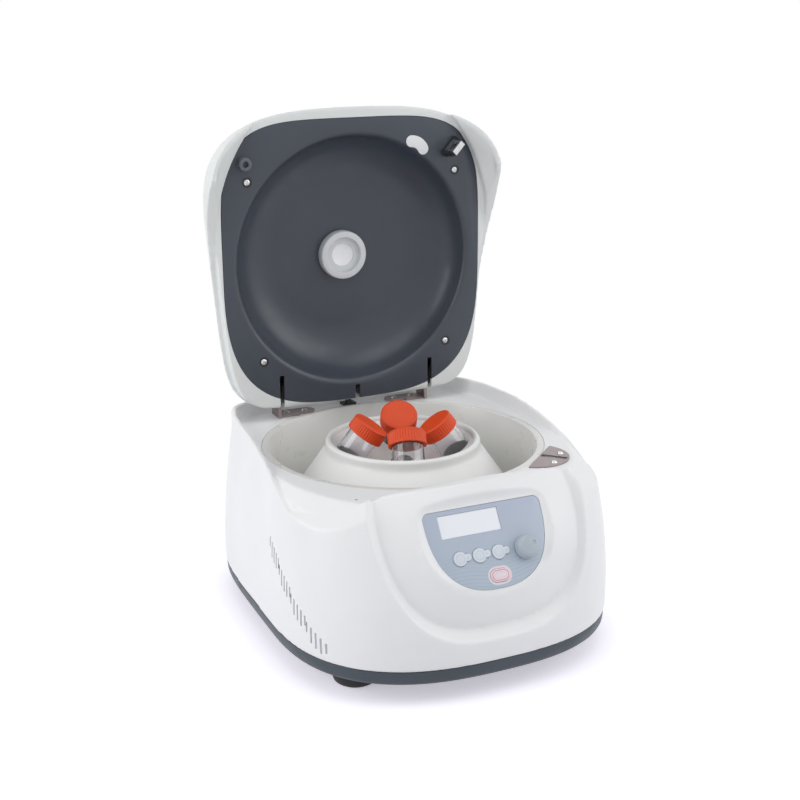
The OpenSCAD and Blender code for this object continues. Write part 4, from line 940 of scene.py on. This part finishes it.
def makePanel():
    plate, play = prism(shield(), -panel["thick"], 0), button["play"]
    soften(plate, 0.35, 3, 50)
    tools = [block(screen["left"], screen["right"], screen["low"], screen["high"], -5, 5),
             prism(moved(keyOutline(play), key["place"]), -5, 5), drum(4, -5, 5, 48, *knob["place"])]
    tools += [prism(moved(buttonOutline(play), place), -5, 5) for place in buttonPlaces]
    cutAll(plate, tools)
    put(plate, onPanel)
    smooth(plate, 30)
    finishPiece(plate, "PanelFilm", "base", "panel", panelFilm, "control_panel")
    gap = screen["play"]
    window = block(screen["left"] + gap, screen["right"] - gap, screen["low"] + gap, screen["high"] - gap,
                   -panel["thick"], -0.35)
    soften(window, 0.3, 2, 50)
    put(window, onPanel)
    finishPiece(window, "DisplayPane", "base", "display", displayWhite, "display_window")


def makeButtons():
    def pressed(outline, place):
        top = prism(outline, button["low"], button["high"])
        soften(top, 0.45, 3, 60)
        join(top, drum(button["stem"], button["stemLow"], -2.5, 32))
        put(top, onPanel @ shifted(*place))
        return smooth(top, 35)
    for side, place in zip(("Left", "Middle", "Right"), buttonPlaces):
        name, body = "Button" + side, side.lower() + "_button"
        top = pressed(buttonOutline(), place)
        finishPiece(top, name + "Cap", body, "button", buttonPale, "button_" + side.lower())
        mark = lathe([(3.3, 1.15), (3.3, 1.26), (3.8, 1.26), (3.8, 1.15)], 48)
        join(mark, drum(0.9, 1.15, 1.26, 24, *button["tabSpot"]))
        put(mark, onPanel @ shifted(*place))
        finishPiece(mark, name + "Mark", body, "button", iconGrey)
    finishPiece(pressed(keyOutline(), key["place"]), "OvalKey", "key", "key", keyPink, "start_key")
    # Each printed ring: outer and inner growth of the oval, its heights, body, slot and colour
    rings = (("OvalKeyRim", -0.9, -1.7, 1.1, 1.28, "key", "key", keyRed),
             ("OvalKeyMark", -3.0, -3.35, 1.1, 1.28, "key", "key", iconGrey),
             ("OvalKeyHalo", 2.2, 0.35, -0.2, 0.12, "base", "panel", keyPink))
    for name, outer, inner, low, high, body, slotName, tone in rings:
        band = prism(keyOutline(outer), low, high)
        cut(band, prism(keyOutline(inner), -3, 3))
        put(band, onPanel @ shifted(*key["place"]))
        finishPiece(band, name, body, slotName, tone)


def makeKnob():
    side = [(0, knob["low"]), (9.6, knob["low"]), (10, 1), (9.8, 3), (9.45, 6.5)]
    turns = [math.radians(t) for t in range(10, 91, 8)]
    shoulder = [(5.9 + 3.5 * math.cos(t), 6.5 + 3 * math.sin(t)) for t in turns]
    shape = lathe(side + shoulder + [(4, 9.75), (0, knob["high"])], 120)
    cut(shape, drum(4.5, -1, 1.5, 48))
    dimple = lathe([(0, 8.7), (0.9, 8.85), (1.7, 9.4), (2.1, 10.3), (2.1, 12), (0, 12)], 40)
    cut(shape, put(dimple, shifted(*knob["dimple"])))
    join(shape, drum(button["stem"], button["stemLow"], 3, 40))
    put(shape, onPanel @ shifted(*knob["place"]))
    smooth(shape, 35)
    finishPiece(shape, "ControlKnob", "dial", "knob", knobGrey, "knob")


makePanel()
makeButtons()
makeKnob()
print("panel done")

# Each row of the tray gives its height and how far it lies inside the housing's outline
tray = {"rows": ((19, 5.4), (19.3, 4.4), (20, 3.2), (21, 2.2), (23, 1.2), (27, 0.8), (31.4, 0.6), (31.8, 0.8),
                 (32, 1.1)), "floor": 22, "wall": 5, "screws": ((140.5, -62), (137, 62))}
foot = {"x": 99, "y": (-118, 108),
        "side": [(5, 8), (5, 0.4), (5.4, 0), (13.6, 0), (14.6, 0.3), (17.8, 2.3), (18.7, 3.2), (20.1, 7),
                 (20.9, 10.4), (21, 12), (20.6, 14.4), (19.4, 16.2), (14, 19), (2.1, 19), (2.1, 8)]}
bowl = {"floor": 60, "radius": 121, "thick": 2, "corner": 20, "cornerR": 100, "cornerZ": 78, "seal": 22}


def makeTray():
    shell = loft([housingRing(z, inset) for z, inset in tray["rows"]])
    cut(shell, loft([housingRing(z, tray["wall"]) for z in (tray["floor"], 34)]))
    spots = [(side * x, y) for side in (-1, 1) for x, y in tray["screws"]]
    join(shell, *[drum(5, 20, 32, 32, x, y) for x, y in spots])
    cutAll(shell, [drum(4, 18, 23, 32, x, y) for x, y in spots])
    put(shell, aboutShaft)
    smooth(shell, 35)
    finishPiece(shell, "BaseTray", "base", "tray", slateTray, "base_tray")


def makeFeet():
    for i, (x, y) in enumerate([(side * foot["x"], y) for side in (-1, 1) for y in foot["y"]]):
        shape = lathe(foot["side"], 72)
        put(shape, aboutShaft @ shifted(x, y, 0))
        smooth(shape, 30)
        finishPiece(shape, "RubberFoot%d" % (i + 1), "base", "rubber", rubberBlack, "feet")


def makeBowl():
    floor, r, thick, seal = (bowl[k] for k in ("floor", "radius", "thick", "seal"))
    outer = arc(bowl["cornerR"], bowl["cornerZ"], bowl["corner"], 270, 361, 6)
    inner = arc(bowl["cornerR"], bowl["cornerZ"], bowl["corner"] - thick, 360, 269, -6)
    lip = [(r + 2, 157.6), (r + 2.4, 158.5), (r + 6.5, 158.5), (r + 6.5, 159.7), (r + 6.2, 160),
           (r + 1.2, 160), (r + 0.4, 159.7), (r, 159)]
    shape = lathe([(seal, floor - thick)] + outer + lip + inner + [(seal, floor)], 240)
    put(shape, aboutShaft)
    smooth(shape, 30)
    finishPiece(shape, "ChamberBowl", "base", "bowl", bowlWhite, "chamber_bowl")


makeTray()
makeFeet()
makeBowl()
print("base done")

studio = {"floor": (0.86, 0.85, 0.89), "fibre": (0.9, 0.89, 0.93), "glow": (0.93, 0.90, 1.0), "lift": 0.46,
          "nearEdge": 0.35, "farEdge": 0.8, "world": 0.56, "worldTone": (0.97, 0.98, 1, 1)}
# Name, place, aim, size in m and power in W
lamps = (("leftLamp", (-1.7, 0.1, 0.9), (0, 0, 0.15), 1.2, 12.0),
         ("rightLamp", (1.6, -0.9, 1.0), (0, 0, 0.15), 1.4, 10.5),
         ("topLamp", (-0.1, -0.5, 1.9), (0, 0, 0.2), 1.3, 6.5))


def addStage():
    deselectAll()
    bpy.ops.mesh.primitive_plane_add(size=14)
    floor = bpy.context.object
    floor.name = "StudioFloor"
    paint = Paint("studioPaper")
    fibre = paint.noise(300, 3, 0.6)
    paint.use(Base_Color=paint.tint(fibre * 0.1, studio["floor"], studio["fibre"]), Roughness=0.9)
    paint.use(Specular_IOR_Level=0.1)
    # Only the camera, mirrors and clear pieces see the floor's glow, which whitens it far from the object
    eye = paint.add("ShaderNodeLightPath", {}, {}, "Is Camera Ray")
    mirror = paint.add("ShaderNodeLightPath", {}, {}, "Is Glossy Ray")
    glass = paint.add("ShaderNodeLightPath", {}, {}, "Is Transmission Ray")
    path = paint.ramp(eye + mirror + glass, 0, 1)
    glow = paint.add("ShaderNodeEmission", {}, {"Color": studio["glow"], "Strength": studio["lift"]})
    total = paint.add("ShaderNodeAddShader", {}, {0: paint.surface(), 1: glow})
    near = paint.add("ShaderNodeMixShader", {}, {0: path, 1: paint.surface(), 2: total})
    reach = paint.add("ShaderNodeVectorMath", {"operation": "LENGTH"}, {0: paint.place}, "Value")
    paper = paint.add("ShaderNodeEmission", {}, {"Color": (1, 1, 1), "Strength": 1.0})
    far = paint.ramp(reach, studio["nearEdge"], studio["farEdge"]) * path
    mixed = paint.add("ShaderNodeMixShader", {}, {0: far, 1: near, 2: paper})
    paint.tree.links.new(mixed.socket, paint.tree.nodes["Material Output"].inputs["Surface"])
    floor.data.materials.append(paint.material)


def addWorld():
    world = bpy.data.worlds.new("studioWorld")
    bpy.context.scene.world = world
    world.use_nodes = True
    tree = world.node_tree
    tree.nodes.clear()
    rays = tree.nodes.new("ShaderNodeLightPath")
    clear = tree.nodes.new("ShaderNodeMath")
    clear.operation = "MAXIMUM"
    tree.links.new(rays.outputs["Is Glossy Ray"], clear.inputs[0])
    tree.links.new(rays.outputs["Is Transmission Ray"], clear.inputs[1])
    seen = tree.nodes.new("ShaderNodeMath")
    seen.operation = "MAXIMUM"
    tree.links.new(rays.outputs["Is Camera Ray"], seen.inputs[0])
    tree.links.new(clear.outputs[0], seen.inputs[1])
    room = tree.nodes.new("ShaderNodeBackground")
    room.inputs["Color"].default_value = studio["worldTone"]
    room.inputs["Strength"].default_value = studio["world"]
    paper = tree.nodes.new("ShaderNodeBackground")
    paper.inputs["Color"].default_value = (1, 1, 1, 1)
    paper.inputs["Strength"].default_value = 1.0
    mixed = tree.nodes.new("ShaderNodeMixShader")
    tree.links.new(seen.outputs[0], mixed.inputs[0])
    tree.links.new(room.outputs[0], mixed.inputs[1])
    tree.links.new(paper.outputs[0], mixed.inputs[2])
    target = tree.nodes.new("ShaderNodeOutputWorld")
    tree.links.new(mixed.outputs[0], target.inputs[0])


def addLamp(name, place, aim, size, power):
    data = bpy.data.lights.new(name, "AREA")
    data.shape, data.size, data.energy = "SQUARE", size, power
    lamp = bpy.data.objects.new(name, data)
    lamp.location = place
    lamp.rotation_euler = (Vector(aim) - Vector(place)).to_track_quat("-Z", "Y").to_euler()
    bpy.context.collection.objects.link(lamp)


addStage()
addWorld()
for lamp in lamps:
    addLamp(*lamp)
bpy.context.scene.view_settings.view_transform = "Standard"
print("stage done")
